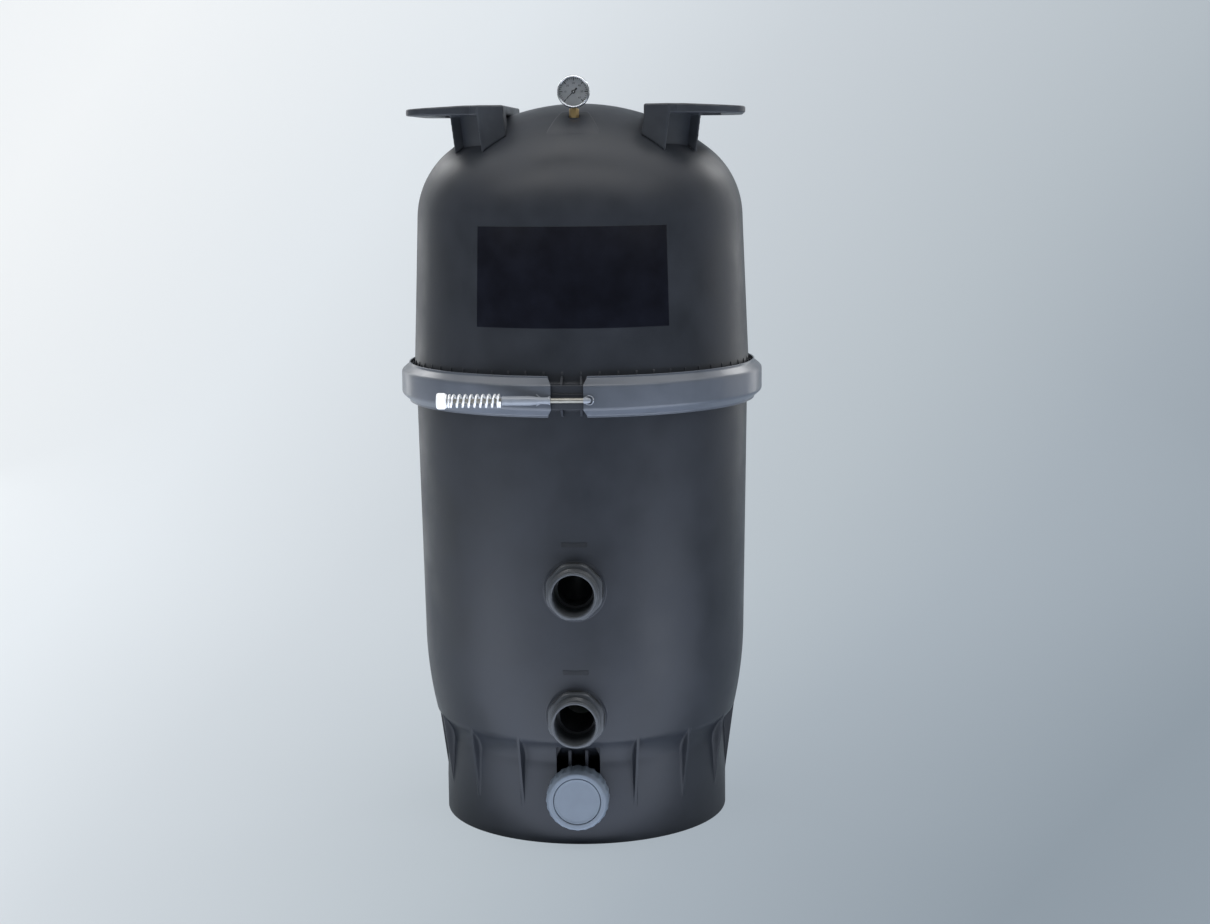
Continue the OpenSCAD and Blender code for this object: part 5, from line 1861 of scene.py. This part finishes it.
@dataclass
class Studio:
    """The floor, the backdrop, the lamps and the camera."""

    focal_px: float = 2099.0
    image_w: int = 1210
    sensor_w: float = 36.0
    distance: float = 3.3818
    height: float = 1.0741
    tilt: float = 0.14835
    azimuth: float = math.radians(2.75)
    side: float = 0.0356
    roll: float = 0.0105
    half_w: float = 6.0
    floor_front: float = -5.0
    bend_from: float = 2.4
    bend_r: float = 1.6
    wall_top: float = 5.0

    def camera(self) -> None:
        """Places the camera that was fitted to the photograph."""
        data = bpy.data.cameras.new("camera")
        data.sensor_width = self.sensor_w
        data.lens = self.focal_px * self.sensor_w / self.image_w
        data.clip_start, data.clip_end = 0.1, 60
        ahead = Vector((-math.sin(self.azimuth), math.cos(self.azimuth), 0))
        right = Vector((math.cos(self.azimuth), math.sin(self.azimuth), 0))
        look = ahead * math.cos(self.tilt) - Vector((0, 0, math.sin(self.tilt)))
        up = right.cross(look)
        turned = right * math.cos(self.roll) - up * math.sin(self.roll)
        up = up * math.cos(self.roll) + right * math.sin(self.roll)
        spot = right * self.side - ahead * self.distance + Vector((0, 0, self.height))
        basis = Matrix((turned, up, -look)).transposed().to_4x4()
        view = shown("camera", data)
        view.matrix_world = Matrix.Translation(spot) @ basis
        bpy.context.scene.camera = view

    def lamp(self, name: str, spot: Sequence[float], target: Sequence[float],
             size: Sequence[float], power: float, colour: str = "ffffff") -> None:
        """Adds a soft box.

        Args:
            name: Its name.
            spot: Where it stands, in metres.
            target: What it points at.
            size: Width and height.
            power: Watts.
            colour: Screen colour of its light.
        """
        data = bpy.data.lights.new(name, "AREA")
        data.shape = "RECTANGLE"
        data.size, data.size_y = size
        data.energy = power
        data.color = linear(colour)[:3]
        lamp = shown(name, data)
        lamp.visible_camera = False
        lamp.location = spot
        lamp.rotation_euler = (Vector(target) - Vector(spot)).to_track_quat("-Z", "Y").to_euler()

    def lights(self) -> None:
        """Adds the lamps."""
        cool = "e6eeff"
        for lamp in (("left_edge", (-2.3, 2.6, 0.95), (0, 0, 0.6), (0.8, 1.9), 7),
                     ("right_edge", (2.3, 2.6, 0.95), (0, 0, 0.6), (0.8, 1.9), 10),
                     ("left_side", (-2.9, 1.1, 1.0), (0, 0, 0.5), (1.2, 1.8), 2),
                     ("right_side", (2.9, 1.1, 1.0), (0, 0, 0.5), (1.2, 1.8), 6),
                     ("top_box", (0.0, -1.4, 3.1), (0, -0.1, 1.0), (5.6, 1.2), 76),
                     ("top_back", (0.0, 0.3, 3.2), (0, 0, 1.0), (5.6, 1.2), 44),
                     ("left_high", (-2.0, 2.3, 2.4), (0, 0, 1.05), (1.1, 0.9), 17),
                     ("right_high", (2.0, 2.3, 2.4), (0, 0, 1.05), (1.1, 0.9), 17),
                     ("floor_glow", (0.0, -0.85, 0.004), (0, -0.85, 1.0), (3.8, 1.2), 35, cool),
                     ("left_low", (-1.1, -0.8, 0.06), (0, 0, 0.25), (0.8, 0.1), 1.0, cool),
                     ("right_low", (1.1, -0.8, 0.06), (0, 0, 0.25), (0.8, 0.1), 2.0, cool)):
            self.lamp(*lamp)

    def world(self) -> None:
        """Sets the plain light from all round and what the camera sees of it."""
        world = bpy.data.worlds.new("studio")
        bpy.context.scene.world = world
        world.use_nodes = True
        nodes, links = world.node_tree.nodes, world.node_tree.links
        light = nodes["Background"]
        light.inputs["Color"].default_value = linear("dfe5ea")
        light.inputs["Strength"].default_value = 0.30
        seen = nodes.new("ShaderNodeBackground")
        seen.inputs["Color"].default_value = linear(PALE)
        path, mix = nodes.new("ShaderNodeLightPath"), nodes.new("ShaderNodeMixShader")
        links.new(path.outputs["Is Camera Ray"], mix.inputs["Fac"])
        links.new(light.outputs[0], mix.inputs[1])
        links.new(seen.outputs[0], mix.inputs[2])
        links.new(mix.outputs[0], nodes["World Output"].inputs["Surface"])

    def painted_light_gradient(self, shader: Shader) -> bpy.types.NodeSocket:
        """Paints light and shade into the paper: pale painted light at the left and greyer
        painted shade at the right, as the camera sees it.

        Args:
            shader: The paper's node tree.

        Returns:
            The colour's output.
        """
        axis = shader.nodes.new("ShaderNodeSeparateXYZ")
        shader.link(shader.place, axis.inputs[0])
        x, y, z = (axis.outputs[i] for i in range(3))
        depth = shader.math("MAXIMUM", shader.math("ADD", y, 3.38), 1.8)
        across = shader.math("DIVIDE", x, depth)
        along = shader.math("POWER", shader.ranged(y, 1, 0, -0.57, 4.0), 2.0)
        low = shader.math("MULTIPLY_ADD", along, 0.19, 0.5)
        high = shader.math("MULTIPLY_ADD", z, -0.12, low)
        ramp = shader.nodes.new("ShaderNodeValToRGB")
        shader.link(shader.math("MULTIPLY_ADD", across, 1.08, high), ramp.inputs[0])
        # Ramp colours: painted light at the pale end, painted shade at the grey end.
        painted_light_stops = ((0.06, "fafdff"), (0.25, "e8eef3"), (0.40, "d2d9df"), (0.60, "bbc4cb"),
                 (0.72, "a9b3bc"), (0.92, "909ba5"))
        while len(ramp.color_ramp.elements) < len(painted_light_stops):
            ramp.color_ramp.elements.new(0.5)
        for element, (place, code) in zip(ramp.color_ramp.elements, painted_light_stops):
            element.position, element.color = place, linear(code)
        aside = shader.ranged(shader.math("ABSOLUTE", x), 0, 1, 2.7, 5.0)
        ahead = shader.ranged(y, 1, 0, -4.6, -2.2)
        fade = shader.nodes.new("ShaderNodeMix")
        fade.data_type = "RGBA"
        shader.link(shader.math("MAXIMUM", aside, ahead), fade.inputs["Factor"])
        colours = [s for s in fade.inputs if s.type == "RGBA"]
        shader.link(ramp.outputs["Color"], colours[0])
        colours[1].default_value = linear(PALE)
        return next(s for s in fade.outputs if s.type == "RGBA")

    def paper(self) -> bpy.types.Material:
        """Builds the paper of floor and backdrop, which the camera sees mostly as a glow of
        painted light.

        Returns:
            The material.
        """
        paper = bpy.data.materials.new("floor_paper")
        paper.use_nodes = True
        shader = Shader(paper)
        painted_light_gradient = self.painted_light_gradient(shader)
        grain = shader.ranged(shader.noise(2.0, 2), 0.985, 1.0)
        glow = shader.nodes.new("ShaderNodeEmission")
        shader.link(painted_light_gradient, glow.inputs["Color"])
        shader.link(grain, glow.inputs["Strength"])
        shader.link(painted_light_gradient, shader.surface.inputs["Base Color"])
        shader.surface.inputs["Roughness"].default_value = 0.9
        shader.surface.inputs["Specular IOR Level"].default_value = 0.1
        # Camera rays see mostly the glow, which is painted light, and a little of the lit paper,
        # which keeps the shadow.
        seen = shader.math("MULTIPLY", shader.nodes.new("ShaderNodeLightPath").outputs[0], 0.85)
        mix = shader.nodes.new("ShaderNodeMixShader")
        shader.link(seen, mix.inputs["Fac"])
        shader.link(shader.surface.outputs[0], mix.inputs[1])
        shader.link(glow.outputs[0], mix.inputs[2])
        out = next(n for n in shader.nodes if n.type == "OUTPUT_MATERIAL")
        shader.link(mix.outputs[0], out.inputs["Surface"])
        return paper

    def ground(self) -> None:
        """Lays a floor that curves up into a backdrop."""
        wall = self.bend_from + self.bend_r
        profile = [(self.floor_front, 0.0), (-2.0, 0.0), (0.0, 0.0), (self.bend_from, 0.0)]
        profile += [(self.bend_from + self.bend_r * math.sin(t),
                     self.bend_r - self.bend_r * math.cos(t))
                    for t in np.linspace(0.1, math.pi / 2, 14)]
        profile += [(wall, 3.0), (wall, self.wall_top)]
        points = [(x, y, z) for y, z in profile for x in (-self.half_w, self.half_w)]
        faces = [(2 * i, 2 * i + 1, 2 * i + 3, 2 * i + 2) for i in range(len(profile) - 1)]
        mesh = bpy.data.meshes.new("floor")
        mesh.from_pydata(points, [], faces)
        mesh.polygons.foreach_set("use_smooth", [True] * len(mesh.polygons))
        mesh.materials.append(self.paper())
        shown("floor", mesh)

    def build(self) -> None:
        """Builds the whole studio."""
        self.camera()
        self.lights()
        self.world()
        self.ground()
        bpy.context.scene.view_settings.view_transform = "Standard"


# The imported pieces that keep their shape

CAD_FINISHES: dict[str, tuple[Finish, str]] = {
    "left_handle": (GRIP_PAINTED_LIGHT, "tank"), "right_handle": (GRIP_PAINTED_LIGHT, "tank"),
    "tank_seal": (RUBBER, "seal"), "tension_bolt": (BOLT, "bolt"),
    "clamp_spring": (PLATED, "spring"), "clamp_washer": (PLATED, "nut"),
    "clamp_nut": (PLATED, "nut"), "inlet_port": (FITTING, "port"),
    "inlet_gasket": (RUBBER, "seal"), "inlet_lock_nut": (FITTING, "port"),
    "inlet_diffuser": (FITTING, "inner"), "outlet_port": (FITTING, "port"),
    "outlet_gasket": (RUBBER, "seal"), "outlet_lock_nut": (FITTING, "port"),
    "outlet_pipe": (FITTING, "inner"), "drain_plug": (DRAIN, "drain"),
    "drain_seal": (RUBBER, "seal"), "drain_nut": (DRAIN, "drain"),
    "gauge_stem": (BRASS, "brass"), "gauge_case": (STEEL, "gauge"),
    "gauge_dial": (DIAL, "dial"), "gauge_pointer": (INK, "pointer"),
    "gauge_lens": (GLASS, "lens"), "gauge_bezel": (STEEL, "gauge"),
    "bottom_manifold": (INNER, "inner"), "top_manifold": (INNER, "inner"),
    "air_tube": (INNER, "inner"), "air_strainer": (MESH, "strainer"),
    **{f"media_{i}": (MEDIA, "media") for i in range(1, 5)},
    **{f"core_{i}": (CORE, "core") for i in range(1, 5)},
    **{f"top_cap_{i}": (CAP, "cap") for i in range(1, 5)},
    **{f"bottom_cap_{i}": (CAP, "cap") for i in range(1, 5)},
}


def dress_cad() -> None:
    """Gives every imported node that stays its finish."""
    for name, node in frame["nodes"].items():
        finish, slot = CAD_FINISHES.get(name, (TANK, "tank"))
        node.data.materials.clear()
        node.data.materials.append(finish.material())


def main() -> None:
    """Builds every piece, then the studio."""
    logging.basicConfig(level=logging.INFO, format="%(name)s: %(message)s")
    dress_cad()
    repeat, sweep = Repeat("repeat round an axis"), Sweep("wire along a path")
    lower = LowerTank()
    lower.build(repeat)
    lid = Lid(seam_z=lower.seam_z, flange_r=lower.flange_r)
    lid.build(lower, repeat)
    Band(mid=lower.clamp_z).build(sweep)
    Port("inlet", lower.inlet_z, lower.inlet_face, lower.inlet_back).build()
    Port("outlet", lower.outlet_z, lower.outlet_face, lower.outlet_back).build()
    Drain(z=lower.drain_z).build()
    Gauge(off=lid.gauge_off, seat_z=lid.seat_z).build(repeat)
    Studio().build()


if __name__ == "__main__":
    main()
